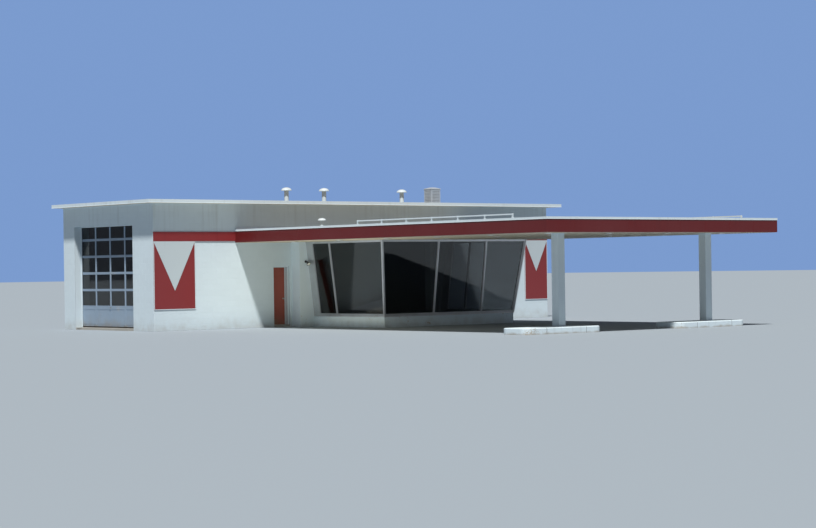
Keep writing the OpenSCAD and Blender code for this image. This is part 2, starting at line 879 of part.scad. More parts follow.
module soffit_lights() {
    dx = canopy_w / light_columns;
    dy = canopy_out / light_rows;
    color("white") placed() for (i = [0 : light_columns - 1], j = [0 : light_rows - 1])
        translate([canopy_x0 + (i + 0.5) * dx, canopy_y0 + (j + 0.5) * dy, canopy_under])
            rotate([180, 0, 0]) soffit_light();
}

module letter_rails() {
    post_z = canopy_top + cap_h;
    rail_z = post_z + rail_post_h;
    y0 = canopy_y0 + column_in;
    color(shade_white) placed() for (x = [canopy_x0, canopy_x1 - rail_bar]) {
        block(x, x + rail_bar, y0, y0 + rail_l, rail_z, rail_z + rail_bar);
        for (i = [0 : rail_posts - 1])
            translate([0, y0 + i * (rail_l - rail_bar) / (rail_posts - 1), 0])
                block(x, x + rail_bar, 0, rail_bar, post_z, rail_z);
    }
}

// Columns on base plates at ground level, with the islands cast round them
module columns() {
    color(white) placed() for (x = column_x) translate([x, column_y, 0]) {
        translate([0, 0, base_t]) linear_extrude(soffit_top - base_t) difference() {
            square(column_w, center = true);
            square(column_w - 2 * column_wall, center = true);
        }
        linear_extrude(base_t) square(base_w, center = true);
    }
}

// Half of a kerb's section, from its middle to a face that lies w away
function kerb(w) = [[0, 0], [w, 0], [w, island_h - island_edge], [w - island_edge, island_h], [0, island_h]];

module kerbed(w, l) {
    for (side = [0, 1]) mirror([0, side, 0])
        rotate([90, 0, 90]) translate([0, 0, -l / 2]) linear_extrude(l) polygon(kerb(w / 2));
}

// Two crossed slabs with turned corners, all with the kerb's section
module island() {
    straight_l = island_l - 2 * island_r;
    straight_w = island_w - 2 * island_r;
    kerbed(island_w, straight_l);
    rotate([0, 0, 90]) kerbed(island_l, straight_w);
    for (sx = [-1, 1], sy = [-1, 1])
        translate([sx * straight_l / 2, sy * straight_w / 2, 0]) rotate_extrude() polygon(kerb(island_r));
}

module islands() {
    color(white) placed() for (x = column_x) translate([x, column_y, 0]) difference() {
        translate([-island_shift, 0, 0]) island();
        translate([0, 0, -eps]) linear_extrude(island_h + 2 * eps)
            square(column_w + 2 * island_joint, center = true);
        translate([0, 0, -eps]) linear_extrude(base_t + island_joint + eps)
            square(base_w + 2 * island_joint, center = true);
    }
}

// Wall lamp: a round plate on the pier, a short arm and a cone that points out and down
module wall_lamp() {
    color(dark_steel) placed() translate([office_x0 - lamp_side, pier_y, lamp_z]) {
        rotate([90, 0, 0]) cylinder(r = lamp_plate_r, h = lamp_plate_t);
        rotate([90, 0, 0]) cylinder(r = lamp_arm_r, h = lamp_arm_l);
        translate([0, -lamp_arm_l, 0]) rotate([90 + lamp_tilt, 0, 0])
            cylinder(r1 = lamp_neck_r, r2 = lamp_mouth_r, h = lamp_shade_l);
    }
}

floor_slab();
end_wall_front();
end_wall_back();
end_wall_lintel();
far_end_wall();
back_wall();
front_wall_left();
front_wall_over_door();
front_wall_middle();
front_wall_over_office();
front_wall_right();
office_piers();
garage_door_frame();
garage_door_glass();
garage_door_panel();
roof_slab();
roof_edge();
roof_vents();
roof_cooler();
wall_bands();
wall_panels();
panel_triangles();
restroom_frame();
restroom_door();
door_knob();
hinge_pins();
hinge_knuckles();
office_sill();
office_frame_left();
office_frame_front();
office_frame_right();
office_glass();
canopy_deck();
canopy_soffit();
canopy_girders();
cross_beams();
fascia_left();
fascia_front();
fascia_right();
canopy_cap();
soffit_lights();
letter_rails();
columns();
islands();
wall_lamp();
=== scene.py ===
"""Finishes and trim of a filling station with a drive-through canopy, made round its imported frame.

The station stands on the ground at z = 0 and its front faces -Y. All sizes are in metres.
"""

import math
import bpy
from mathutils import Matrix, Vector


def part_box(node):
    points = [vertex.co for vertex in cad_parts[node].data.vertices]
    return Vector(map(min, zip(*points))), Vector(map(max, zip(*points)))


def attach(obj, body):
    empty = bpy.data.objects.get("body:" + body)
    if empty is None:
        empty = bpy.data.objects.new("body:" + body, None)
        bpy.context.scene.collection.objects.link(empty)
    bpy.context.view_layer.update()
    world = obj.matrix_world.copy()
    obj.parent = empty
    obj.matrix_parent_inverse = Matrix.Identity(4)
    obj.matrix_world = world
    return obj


bl_info = {
    "name": "Filling Station Canopy",
    "version": (1, 0, 0),
    "blender": (4, 5, 0),
    "location": "3D View > Sidebar > Station",
    "description": "Finishes, trim and a stage for a filling station with a drive-through canopy",
    "category": "Object",
}

import bmesh
import bpy
from bpy.props import FloatProperty, FloatVectorProperty, PointerProperty
from mathutils import Matrix, Vector

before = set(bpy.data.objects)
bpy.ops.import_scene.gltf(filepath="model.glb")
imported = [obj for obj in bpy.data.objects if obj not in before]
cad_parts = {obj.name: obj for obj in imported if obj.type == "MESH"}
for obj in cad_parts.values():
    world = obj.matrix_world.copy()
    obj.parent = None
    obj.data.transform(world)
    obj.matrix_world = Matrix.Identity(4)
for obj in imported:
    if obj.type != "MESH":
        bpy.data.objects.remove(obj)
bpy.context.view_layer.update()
BODY, LEAF = "station", "restroom_leaf"
WELD = 0.00005
MOST_BLOCKS = 200
RIGHT, LEFT = Vector((1, 0, 0)), Vector((-1, 0, 0))
FRONT, BACK = Vector((0, -1, 0)), Vector((0, 1, 0))
UP, DOWN = Vector((0, 0, 1)), Vector((0, 0, -1))


def colour_property(label, text, default):
    return FloatVectorProperty(
        name=label, description=text, default=default, size=3, min=0, max=1, subtype="COLOR"
    )


def vector_property(label, text, default, subtype):
    return FloatVectorProperty(name=label, description=text, default=default, size=3, subtype=subtype)


def length_property(label, text, default):
    return FloatProperty(name=label, description=text, default=default, min=0, unit="LENGTH")


def number_property(label, text, default, least=0):
    return FloatProperty(name=label, description=text, default=default, min=least)


def angle_property(label, text, degrees):
    return FloatProperty(name=label, description=text, default=math.radians(degrees), subtype="ANGLE")


class StationColours(bpy.types.PropertyGroup):
    """Colours of the station's paints, enamels and metals."""

    wall: colour_property("Wall", "White paint on the masonry", (0.62, 0.73, 0.80))
    metal: colour_property("White metal", "White paint on sheet metal", (0.64, 0.74, 0.80))
    enamel: colour_property("Edge enamel", "Dark red enamel on the edge boards", (0.120, 0.006, 0.007))
    sign_red: colour_property("Wall enamel", "Red enamel on the bands and panels", (0.22, 0.022, 0.026))
    door: colour_property("Door", "Red gloss paint on the restroom door", (0.34, 0.085, 0.06))
    panel: colour_property("Door panel", "Pale blue paint on the garage door", (0.27, 0.36, 0.47))
    # Pale ceiling paint tinted cream to stand in for warm light bounced up from the ground: painted bounce
    # light
    ceiling: colour_property("Ceiling", "Cream paint under the canopy and eaves", (0.66, 0.60, 0.48))
    gravel: colour_property("Gravel", "Stones on the roofs", (0.42, 0.38, 0.32))
    concrete: colour_property("Concrete", "Bare concrete", (0.42, 0.41, 0.38))
    dirt: colour_property("Dirt", "Dust and splashed soil", (0.26, 0.21, 0.15))
    soot: colour_property("Soot", "Grime washed down by rain", (0.12, 0.12, 0.11))
    glass: colour_property("Glass", "Tint of the window glass", (0.28, 0.29, 0.30))


class StationTrim(bpy.types.PropertyGroup):
    """Sizes of what is fixed to the frame."""

    block_length: length_property("Block length", "Length of a wall block with its joint", 0.40)
    block_height: length_property("Block height", "Height of a wall block with its joint", 0.20)
    block_joint: length_property("Block joint", "Width of the joints between blocks", 0.010)
    block_rise: length_property("Block rise", "Height of the blocks' faces above the joints", 0.003)
    seam_pitch: length_property("Seam pitch", "Distance between the enamel sheets' seams", 1.22)
    seam_width: length_property("Seam width", "Width of the strips over the seams", 0.030)
    seam_rise: length_property("Seam rise", "Height of the strips over the seams", 0.004)
    cover_pitch: length_property("Cover pitch", "Distance between the covers on the metal edges", 3.05)
    cover_width: length_property("Cover width", "Width of the covers on the metal edges", 0.10)
    bead_width: length_property("Bead width", "Width of the glazing beads", 0.009)
    bead_rise: length_property("Bead rise", "Height of the glazing beads on the glass", 0.007)
    mullion_cap: length_property("Mullion cap", "Width of the caps on the office's mullions", 0.044)
    screw: length_property("Screw", "Radius of the screw heads", 0.006)
    gravel_size: length_property("Gravel size", "Size of the stones on the roofs", 0.022)


class StationStage(bpy.types.PropertyGroup):
    """Floor, light and camera."""

    lens: number_property("Lens", "Focal length in millimetres", 90, least=20)
    camera_place: vector_property(
        "Camera place", "Where the camera stands", (-48.45, -55.1525, 2.05), "TRANSLATION"
    )
    heading: angle_property("Heading", "Turn of the view from +Y towards +X", 40.04)
    pitch: angle_property("Pitch", "Tilt of the view above the horizon", 0.145)
    roll: angle_property("Roll", "Turn of the picture, clockwise", 0.836)
    sun_way: vector_property("Sun's way", "Direction of the sunlight", (0.37, 0.40, -1.0), "DIRECTION")
    sun_strength: number_property("Sun", "Strength of the sun", 5.0)
    sun_softness: angle_property("Sun's softness", "Angle across the sun; more softens the shadows", 4.0)
    sun_colour: colour_property("Sunlight", "Colour of the sunlight", (1.0, 0.96, 0.90))
    sky_strength: number_property("Sky", "Strength of the sky's light", 0.16)
    sky_light: colour_property("Skylight", "Colour of the sky's light", (0.70, 0.79, 1.0))
    sky_shown: colour_property("Sky shown", "Colour of the sky in the picture", (0.20, 0.33, 0.62))
    bounce_strength: number_property("Bounce", "Watts of light thrown up from the ground", 108)
    bounce_colour: colour_property("Bounce colour", "Colour of that light", (1.0, 0.95, 0.74))
    bounce_width: length_property("Bounce width", "Size across the front of the lit ground", 4.6)
    bounce_depth: length_property("Bounce depth", "Size away from the front of the lit ground", 7.0)
    bounce_gap: length_property("Bounce gap", "Distance of the lit ground from the office", 0.6)
    floor_size: length_property("Floor size", "Length of the floor's sides", 900.0)
    floor_colour: colour_property("Floor", "Colour of the floor", (0.28, 0.33, 0.38))


# Shader nodes: an input is a plain value or another node's output


def feed(tree, socket, value):
    """Links an output to a socket, or sets a plain value on it."""
    if isinstance(value, bpy.types.NodeSocket):
        tree.links.new(value, socket)
    else:
        socket.default_value = value


def put(tree, kind, inputs=None, **settings):
    """Adds a shader node with its settings and inputs."""
    node = tree.nodes.new("ShaderNode" + kind)
    for key, value in settings.items():
        setattr(node, key, value)
    for key, value in (inputs or {}).items():
        feed(tree, node.inputs[key], value)
    return node


def calculate(tree, operation, first, second):
    """The output of a math node."""
    return put(tree, "Math", {0: first, 1: second}, operation=operation).outputs[0]


def remap(tree, value, low, high, to_low=0.0, to_high=1.0):
    """Stretches what lies between low and high, and clips the rest."""
    inputs = {"Value": value, "From Min": low, "From Max": high, "To Min": to_low, "To Max": to_high}
    return put(tree, "MapRange", inputs).outputs["Result"]


def opaque(colour):
    """A plain colour with its alpha, or an output as it is."""
    return colour if isinstance(colour, bpy.types.NodeSocket) else (*colour, 1.0)


def mix_colours(tree, amount, under, over):
    """One colour over another by the amount."""
    inputs = {0: amount, 6: opaque(under), 7: opaque(over)}
    return put(tree, "Mix", inputs, data_type="RGBA").outputs[2]


def mix_values(tree, amount, under, over):
    """One value over another by the amount."""
    return put(tree, "Mix", {0: amount, 2: under, 3: over}, data_type="FLOAT").outputs[0]


def place_output(tree):
    """The object coordinate."""
    return put(tree, "TexCoord").outputs["Object"]


def place_xyz(tree):
    """The object coordinate's three parts."""
    return put(tree, "SeparateXYZ", {"Vector": place_output(tree)}).outputs


def upward(tree, low, high):
    """How far a face looks up, stretched between low and high."""
    normal = put(tree, "NewGeometry").outputs["Normal"]
    return remap(tree, put(tree, "SeparateXYZ", {"Vector": normal}).outputs["Z"], low, high)


def noise(tree, size, stretch=(1.0, 1.0, 1.0), detail=4.0):
    """Noise with features of about the given size, in metres, stretched along the axes."""
    mapping = put(tree, "Mapping", {"Vector": place_output(tree), "Scale": stretch})
    scale = calculate(tree, "DIVIDE", 1.0, size)
    inputs = {"Vector": mapping.outputs[0], "Scale": scale, "Detail": detail}
    return put(tree, "TexNoise", inputs).outputs[0]


# Effects: each makes the outputs of a shader group from what the group is given


def clouds(tree, given):
    """Soft patches of the given size; a higher contrast makes their edges harder."""
    half = calculate(tree, "DIVIDE", 0.5, given["Contrast"])
    low = calculate(tree, "SUBTRACT", 0.5, half)
    high = calculate(tree, "ADD", 0.5, half)
    return [remap(tree, noise(tree, given["Size"]), low, high)]


def splash(tree, given):
    """Soil splashed up from the ground, patchy at its upper edge."""
    fall = calculate(tree, "DIVIDE", place_xyz(tree)["Z"], given["Height"])
    patches = remap(tree, noise(tree, 0.35, detail=6.0), 0.3, 0.7, -0.35, 0.35)
    near = remap(tree, calculate(tree, "ADD", fall, patches), 1.0, 0.0)
    soft = calculate(tree, "POWER", near, 1.6)
    return [calculate(tree, "MULTIPLY", soft, given["Amount"])]


def streaks(tree, given):
    """Narrow runs washed down by rain from a level edge."""
    below = calculate(tree, "SUBTRACT", given["Top"], place_xyz(tree)["Z"])
    fade = remap(tree, calculate(tree, "DIVIDE", below, given["Length"]), 1.0, 0.0)
    runs = remap(tree, noise(tree, 0.16, (1.0, 1.0, 0.05), 3.0), 0.52, 0.74)
    broad = remap(tree, noise(tree, 1.1, (1.0, 1.0, 0.1), 2.0), 0.35, 0.65)
    faded = calculate(tree, "MULTIPLY", calculate(tree, "MULTIPLY", runs, broad), fade)
    return [calculate(tree, "MULTIPLY", faded, given["Amount"])]


def blocks(tree, given):
    """A tone for each block of the upright walls that lie along X or Y."""
    xyz = place_xyz(tree)
    along = calculate(tree, "ADD", xyz["X"], xyz["Y"])
    inputs = {
        "Vector": put(tree, "CombineXYZ", {"X": along, "Y": xyz["Z"]}).outputs[0],
        "Color1": (0, 0, 0, 1),
        "Color2": (1, 1, 1, 1),
        "Mortar": (0.5, 0.5, 0.5, 1),
        "Scale": 1.0,
        "Mortar Size": 0.0,
        "Brick Width": given["Length"],
        "Row Height": given["Height"],
    }
    return [put(tree, "TexBrick", inputs).outputs["Color"]]


def grain(tree, given):
    """Fine unevenness of a brushed or sprayed coat."""
    return [noise(tree, given["Size"], detail=8.0)]


def chips(tree, given):
    """Small hard-edged flakes, gathered where a broad noise is high."""
    small = noise(tree, given["Size"], detail=6.0)
    both = calculate(tree, "MULTIPLY", small, noise(tree, 0.9, detail=2.0))
    edge = calculate(tree, "SUBTRACT", 0.42, calculate(tree, "MULTIPLY", given["Amount"], 0.2))
    return [remap(tree, both, edge, calculate(tree, "ADD", edge, 0.02))]


def stones(tree, given):
    """Loose stones of the given size: a tone for each, and their height."""
    scale = calculate(tree, "DIVIDE", 1.0, given["Size"])
    cells = put(tree, "TexVoronoi", {"Vector": place_output(tree), "Scale": scale}).outputs
    tone = put(tree, "SeparateColor", {0: cells["Color"]}).outputs[0]
    return [tone, calculate(tree, "SUBTRACT", 1.0, cells["Distance"])]


def settled_dust(tree, given):
    """Dust that settles on faces that look up."""
    patchy = remap(tree, noise(tree, 0.5), 0.3, 0.7, 0.4, 1.0)
    both = calculate(tree, "MULTIPLY", upward(tree, 0.4, 0.9), patchy)
    return [calculate(tree, "MULTIPLY", both, given["Amount"])]


def facing_up(tree, given):
    """1 on faces that look up, 0 on the rest."""
    return [upward(tree, 0.4, 0.6)]


EFFECTS = {
    "Clouds": (clouds, {"Size": 1.0, "Contrast": 2.0}, ["Mask"]),
    "Splash": (splash, {"Height": 0.6, "Amount": 0.6}, ["Mask"]),
    "Streaks": (streaks, {"Top": 4.0, "Length": 1.5, "Amount": 0.5}, ["Mask"]),
    "Blocks": (blocks, {"Length": 0.4, "Height": 0.2}, ["Tone"]),
    "Grain": (grain, {"Size": 0.01}, ["Height"]),
    "Chips": (chips, {"Size": 0.05, "Amount": 0.3}, ["Mask"]),
    "Stones": (stones, {"Size": 0.035}, ["Tone", "Height"]),
    "Settled dust": (settled_dust, {"Amount": 0.5}, ["Mask"]),
    "Facing up": (facing_up, {}, ["Mask"]),
}


def build_group(name, make, inputs, outputs):
    """Builds the shader group of an effect."""
    group = bpy.data.node_groups.new(name, "ShaderNodeTree")
    for label, default in inputs.items():
        socket = group.interface.new_socket(label, in_out="INPUT", socket_type="NodeSocketFloat")
        socket.default_value = default
    for label in outputs:
        group.interface.new_socket(label, in_out="OUTPUT", socket_type="NodeSocketFloat")
    made = make(group, group.nodes.new("NodeGroupInput").outputs)
    ends = group.nodes.new("NodeGroupOutput").inputs
    for label, value in zip(outputs, made):
        group.links.new(value, ends[label])


class Finish:
    """One material, laid up in coats on a Principled shader."""

    def __init__(self, name, colour, roughness, coats=(), surface=None, **settings):
        """Takes coats of (effect, its values, colour, roughness, share) and a (grain size, depth)."""
        self.material = bpy.data.materials.new(name)
        self.material.use_nodes = True
        self.tree = self.material.node_tree
        self.shader = self.tree.nodes["Principled BSDF"]
        self.colour = colour
        self.roughness = roughness
        self.normal = None
        for effect, values, *rest in coats:
            self.coat(self.effect(effect, *values), *rest)
        if surface:
            self.relief(self.effect("Grain", surface[0]), surface[1])
        for key, value in settings.items():
            self.shader.inputs[key.replace("_", " ")].default_value = value

    def effect(self, name, *values, output=0):
        """An output of one of the shared groups, with its own values in the inputs' order."""
        node = self.tree.nodes.new("ShaderNodeGroup")
        node.node_tree = bpy.data.node_groups[name]
        for socket, value in zip(node.inputs, values):
            socket.default_value = value
        return node.outputs[output]

    def coat(self, mask, colour=None, roughness=None, share=1.0):
        """Lays a colour, a roughness or both over what is there, where the mask is high."""
        amount = mask if share == 1.0 else calculate(self.tree, "MULTIPLY", mask, share)
        if colour is not None:
            self.colour = mix_colours(self.tree, amount, self.colour, colour)
        if roughness is not None:
            self.roughness = mix_values(self.tree, amount, self.roughness, roughness)

    def relief(self, height, depth):
        """Raises the surface where the height is large, by up to the depth in metres."""
        inputs = {"Height": height, "Distance": depth, "Strength": 1.0}
        self.normal = put(self.tree, "Bump", inputs).outputs[0]

    def done(self):
        """Gives the shader what was laid up, and returns the material."""
        feed(self.tree, self.shader.inputs["Base Color"], opaque(self.colour))
        feed(self.tree, self.shader.inputs["Roughness"], self.roughness)
        if self.normal is not None:
            self.tree.links.new(self.normal, self.shader.inputs["Normal"])
        return self.material


def shaded(colour, factor):
    """A darker or lighter version of a colour."""
    return tuple(min(1.0, part * factor) for part in colour)


def fired_enamel(name, colour, dirt):
    """Fired enamel that has faded unevenly in the sun."""
    faded = tuple(0.92 * part + 0.02 for part in colour)
    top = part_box("fascia_front")[1].z
    coats = [
        ("Clouds", (1.7, 1.4), faded, 0.42, 0.6),
        ("Streaks", (top, 0.7, 0.35), shaded(colour, 0.45), 0.5),
        ("Settled dust", (0.5,), dirt, 0.85),
    ]
    return Finish(name, colour, 0.28, coats, (0.25, 0.003), Coat_Weight=0.25, Coat_Roughness=0.12)


def gravel_roof(colours, trim):
    """Gravel on tar where the roof looks up, and pale paint on its underside, tinted cream as painted
    bounce light from the ground.
    """
    paint = ("Clouds", (1.6, 1.6), shaded(colours.ceiling, 0.88), None, 0.5)
    roof = Finish("gravel_over_paint_and_painted_bounce", colours.ceiling, 0.7, [paint])
    tree, up = roof.tree, roof.effect("Facing up")
    tone = roof.effect("Stones", trim.gravel_size)
    gravel = mix_colours(tree, tone, shaded(colours.gravel, 0.55), shaded(colours.gravel, 1.35))
    tar = calculate(tree, "MULTIPLY", roof.effect("Clouds", 0.9, 5.0), 0.35)
    aged = mix_colours(tree, tar, gravel, colours.soot)
    roof.coat(up, aged, 0.95)
    height = roof.effect("Stones", trim.gravel_size, output=1)
    roof.relief(calculate(tree, "MULTIPLY", height, up), 0.02)
    return roof


def make_finishes(colours, trim):
    """Every finish of the station, by the name that nodes and pieces ask for."""
    wall, metal, dirt, soot = colours.wall, colours.metal, colours.dirt, colours.soot
    concrete, door, panel, ceiling = colours.concrete, colours.door, colours.panel, colours.ceiling
    # The render is the wall's white made 1.2 times lighter
    lighter_white = shaded(wall, 1.2)
    wall_top, roof_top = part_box("back_wall")[1].z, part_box("roof_edge")[1].z
    kerb_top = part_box("islands")[1].z
    return {
        "white_wall": Finish("white_painted_blockwork", wall, 0.72, [
            ("Blocks", (trim.block_length, trim.block_height), shaded(wall, 0.94), None, 0.5),
            ("Clouds", (2.2, 1.6), shaded(wall, 0.88), 0.8, 0.5),
            ("Streaks", (wall_top, 1.8, 0.22), soot, 0.85),
            ("Splash", (0.45, 0.3), dirt, 0.92),
        ], (0.012, 0.0012)),
        "render": Finish("white_render", lighter_white, 0.70, [
            ("Clouds", (1.4, 1.5), shaded(lighter_white, 0.86), 0.78, 0.5),
            ("Chips", (0.06, 0.15), shaded(concrete, 1.2), 0.9),
            ("Splash", (0.35, 0.3), dirt, 0.92),
        ], (0.02, 0.002)),
        "concrete": Finish("trowelled_concrete", concrete, 0.75, [
            ("Clouds", (1.1, 1.8), shaded(concrete, 0.72), 0.6, 0.7),
            ("Chips", (0.3, 0.5), soot, 0.45, 0.5),
        ], (0.01, 0.001)),
        "kerb_white": Finish("kerb_paint", shaded(wall, 1.05), 0.62, [
            ("Clouds", (0.7, 1.6), shaded(wall, 0.85), 0.75, 0.6),
            ("Chips", (0.03, 0.3), concrete, 0.9),
            ("Streaks", (kerb_top, 0.5, 0.5), soot, 0.7),
            ("Splash", (0.09, 0.7), dirt, 0.9),
        ], (0.008, 0.0015)),
        "roof_gravel": gravel_roof(colours, trim),
        "white_metal": Finish("white_painted_metal", metal, 0.42, [
            ("Clouds", (0.8, 1.5), shaded(metal, 0.88), 0.55, 0.5),
            ("Streaks", (roof_top, roof_top, 0.18), soot, 0.6),
            ("Settled dust", (0.45,), dirt, 0.85),
        ], (0.006, 0.0004)),
        "edge_enamel": fired_enamel("dark_red_enamel", colours.enamel, dirt),
        "wall_enamel": fired_enamel("red_enamel", colours.sign_red, dirt),
        "white_enamel": fired_enamel("white_enamel", shaded(metal, 0.78), dirt),
        "red_door": Finish("red_door_paint", door, 0.35, [
            ("Clouds", (0.5, 1.6), shaded(door, 0.75), 0.5, 0.6),
            ("Splash", (0.5, 0.6), dirt, 0.85),
            ("Chips", (0.015, 0.04), shaded(door, 0.45), 0.7),
        ], (0.01, 0.0006)),
        "pale_blue": Finish("pale_blue_paint", panel, 0.45, [
            ("Clouds", (0.6, 1.5), shaded(panel, 0.85), 0.6, 0.5),
            ("Splash", (0.5, 0.5), dirt, 0.85),
            ("Chips", (0.02, 0.12), shaded(concrete, 1.1), 0.8),
        ], (0.01, 0.0006)),
        # Pale ceiling paint tinted cream as painted warm bounce light from the ground; the darker clouds
        # are stains
        "cream_soffit": Finish("ceiling_paint_and_painted_bounce", ceiling, 0.6, [
            ("Clouds", (2.0, 1.5), shaded(ceiling, 0.85), 0.7, 0.6),
            ("Clouds", (0.7, 2.6), shaded(ceiling, 0.78), 0.8, 0.4),
        ], (0.02, 0.0008)),
        "aluminium": Finish("satin_aluminium", (0.72, 0.73, 0.75), 0.34, [
            ("Clouds", (0.3, 1.6), (0.55, 0.56, 0.58), 0.5, 0.6),
            ("Splash", (0.6, 0.35), dirt, 0.7),
        ], (0.004, 0.0002), Metallic=0.9),
        "galvanised": Finish("galvanised_sheet", (0.54, 0.64, 0.76), 0.42, [
            ("Stones", (0.02,), (0.64, 0.74, 0.86), 0.3, 0.8),
            ("Clouds", (0.4, 1.8), (0.46, 0.49, 0.52), 0.65, 0.5),
            ("Settled dust", (0.4,), dirt, 0.85),
        ], Metallic=0.35),
        "dark_steel": Finish("dark_painted_steel", (0.045, 0.05, 0.055), 0.5, [
            ("Chips", (0.04, 0.5), (0.20, 0.07, 0.03), 0.85),
            ("Settled dust", (0.4,), dirt, 0.85),
        ], (0.006, 0.0006), Metallic=0.2),
        "hardware": Finish("worn_chrome", (0.62, 0.62, 0.60), 0.18, [
            ("Clouds", (0.03, 2.0), (0.42, 0.40, 0.36), 0.45, 0.7),
        ], Metallic=1.0),
        "window_glass": Finish("window_glass", colours.glass, 0.01, [
            ("Clouds", (0.4, 2.0), None, 0.05, 0.5),
            ("Splash", (0.9, 0.5), None, 0.25),
        ], Transmission_Weight=1.0, IOR=1.5),
        "lamp_glass": Finish("opal_lens", (0.88, 0.87, 0.82), 0.22, [
            ("Clouds", (0.08, 1.6), (0.74, 0.71, 0.62), 0.4, 0.5),
        ], Subsurface_Weight=0.2),
        "rubber": Finish("black_rubber", (0.018, 0.018, 0.018), 0.75, [
            ("Clouds", (0.1, 1.6), (0.06, 0.058, 0.055), 0.9, 0.7),
        ]),
        "tar": Finish("roof_tar", (0.02, 0.019, 0.018), 0.45, [
            ("Clouds", (0.08, 2.0), (0.07, 0.065, 0.06), 0.8, 0.7),
        ], (0.03, 0.004)),
    }


# Each finish's material by its name, all made when the first is asked for
finishes = {}


def finish(name):
    """The material of that name; all are made when the first is asked for."""
    if not finishes:
        scene = bpy.context.scene
        for key, made in make_finishes(scene.station_colours, scene.station_trim).items():
            finishes[key] = made.done()
    return finishes[name]


def dress(name, *nodes):
    """Gives CAD nodes a finish."""
    for node in nodes:
        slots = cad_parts[node].data.materials
        slots.clear()
        slots.append(finish(name))


# Shapes, and the places where they are put


def add_box(bm, low, high, bevel):
    """A box between two corners, with its edges bevelled."""
    low, high = Vector(low), Vector(high)
    verts = bmesh.ops.create_cube(bm, size=1.0)["verts"]
    bmesh.ops.scale(bm, vec=high - low, verts=verts)
    bmesh.ops.translate(bm, vec=(low + high) / 2, verts=verts)
    edges = list({edge for vert in verts for edge in vert.link_edges})
    bmesh.ops.bevel(bm, geom=edges, offset=bevel, affect="EDGES", segments=1, profile=0.5, material=-1)


def add_rod(bm, start, end, radius, end_radius=None, sides=16):
    """A round bar or cone between two points."""
    start, end = Vector(start), Vector(end)
    along = end - start
    turn = along.to_track_quat("Z", "Y").to_matrix().to_4x4()
    bmesh.ops.create_cone(
        bm,
        cap_ends=True,
        segments=sides,
        radius1=radius,
        radius2=radius if end_radius is None else end_radius,
        depth=along.length,
        matrix=Matrix.Translation((start + end) / 2) @ turn,
    )


def place_on(point, normal, up=UP):
    """A place whose Z axis follows the normal and whose Y axis points up."""
    z = normal.normalized()
    x = up.cross(z).normalized()
    return Matrix.Translation(point) @ Matrix((x, z.cross(x), z)).transposed().to_4x4()


def edge_place(point, inwards):
    """A place for a bar along an edge: X points inwards, Y up, and Z along the edge."""
    turn = Matrix((inwards, UP, inwards.cross(UP))).transposed().to_4x4()
    return Matrix.Translation(point) @ turn


def stamp(bm, part, places):
    """Adds a copy of a small shape at each place, and frees the shape."""
    mesh = bpy.data.meshes.new("stamp")
    part.to_mesh(mesh)
    part.free()
    for place in places:
        mesh.transform(place)
        bm.from_mesh(mesh)
        mesh.transform(place.inverted())
    bpy.data.meshes.remove(mesh)


def push(bm, length):
    """Pushes all faces of a flat bmesh along Z, which makes it a closed solid."""
    grown = bmesh.ops.extrude_face_region(bm, geom=bm.faces[:])["geom"]
    moved = [item for item in grown if isinstance(item, bmesh.types.BMVert)]
    bmesh.ops.translate(bm, vec=(0, 0, length), verts=moved)


def add_bar(bm, outline, place, length):
    """An outline of (x, y) points in the place's XY plane, pushed along its Z axis."""
    part = bmesh.new()
    part.faces.new([part.verts.new((x, y, 0)) for x, y in outline])
    push(part, length)
    stamp(bm, part, [place])


def add_lathe(bm, outline, places, radius=0.0):
    """An outline of (x, height) points beyond a radius, spun about the Z axis at each place.

    An outline that starts and ends on the axis stays open there, and any other is closed.
    """
    part = bmesh.new()
    verts = [part.verts.new((radius + x, 0, height)) for x, height in outline]
    edges = [part.edges.new(pair) for pair in zip(verts, verts[1:])]
    if verts[0].co.x > 0:
        edges.append(part.edges.new((verts[-1], verts[0])))
    bmesh.ops.spin(
        part,
        geom=verts + edges,
        cent=(0, 0, 0),
        axis=(0, 0, 1),
        dvec=(0, 0, 0),
        angle=math.tau,
        steps=32,
        use_merge=True,
        use_duplicate=False,
    )
    bmesh.ops.remove_doubles(part, verts=part.verts, dist=WELD)
    stamp(bm, part, places)


def flat_sheet(width, height):
    """A bmesh of one rectangle in the XY plane, with a corner at the origin."""
    bm = bmesh.new()
    bmesh.ops.create_grid(bm, x_segments=1, y_segments=1, size=0.5)
    bmesh.ops.translate(bm, vec=(0.5, 0.5, 0), verts=bm.verts)
    bmesh.ops.scale(bm, vec=(width, height, 1), verts=bm.verts)
    return bm


def add_frame(bm, place, width, height, border, depth):
    """A mitred flat frame in the place's XY plane, from its corner, that rises along its Z axis."""
    part = flat_sheet(width, height)
    field = part.faces[:]
    bmesh.ops.inset_individual(part, faces=field, thickness=border, use_even_offset=True)
    bmesh.ops.delete(part, geom=field, context="FACES_ONLY")
    push(part, depth)
    stamp(bm, part, [place])


def add_ring(bm, low, high, out, lap, foot, height):
    """A level frame round a box, that stands out from its sides and laps over them inwards."""
    corner = Matrix.Translation((low[0] - out, low[1] - out, foot))
    add_frame(bm, corner, high[0] - low[0] + 2 * out, high[1] - low[1] + 2 * out, out + lap, height)


def add_screws(bm, trim, places):
    """Low round screw heads."""
    part = bmesh.new()
    height = trim.screw * 0.4
    add_rod(part, (0, 0, 0), (0, 0, height), trim.screw, trim.screw * 0.7, sides=8)
    stamp(bm, part, places)


def add_seams(bm, trim, points, side, foot, top, levels):
    """Strips over seams in a sheet, up from each (x, y) point, with screws at some levels."""
    half, rise = trim.seam_width / 2, trim.seam_rise
    part = bmesh.new()
    add_box(part, (-half, foot, 0), (half, top, rise), rise / 3)
    places = [place_on((x, y, 0), side) for x, y in points]
    stamp(bm, part, places)
    heads = [Matrix.Translation((0, level, rise)) for level in levels]
    add_screws(bm, trim, [place @ head for place in places for head in heads])


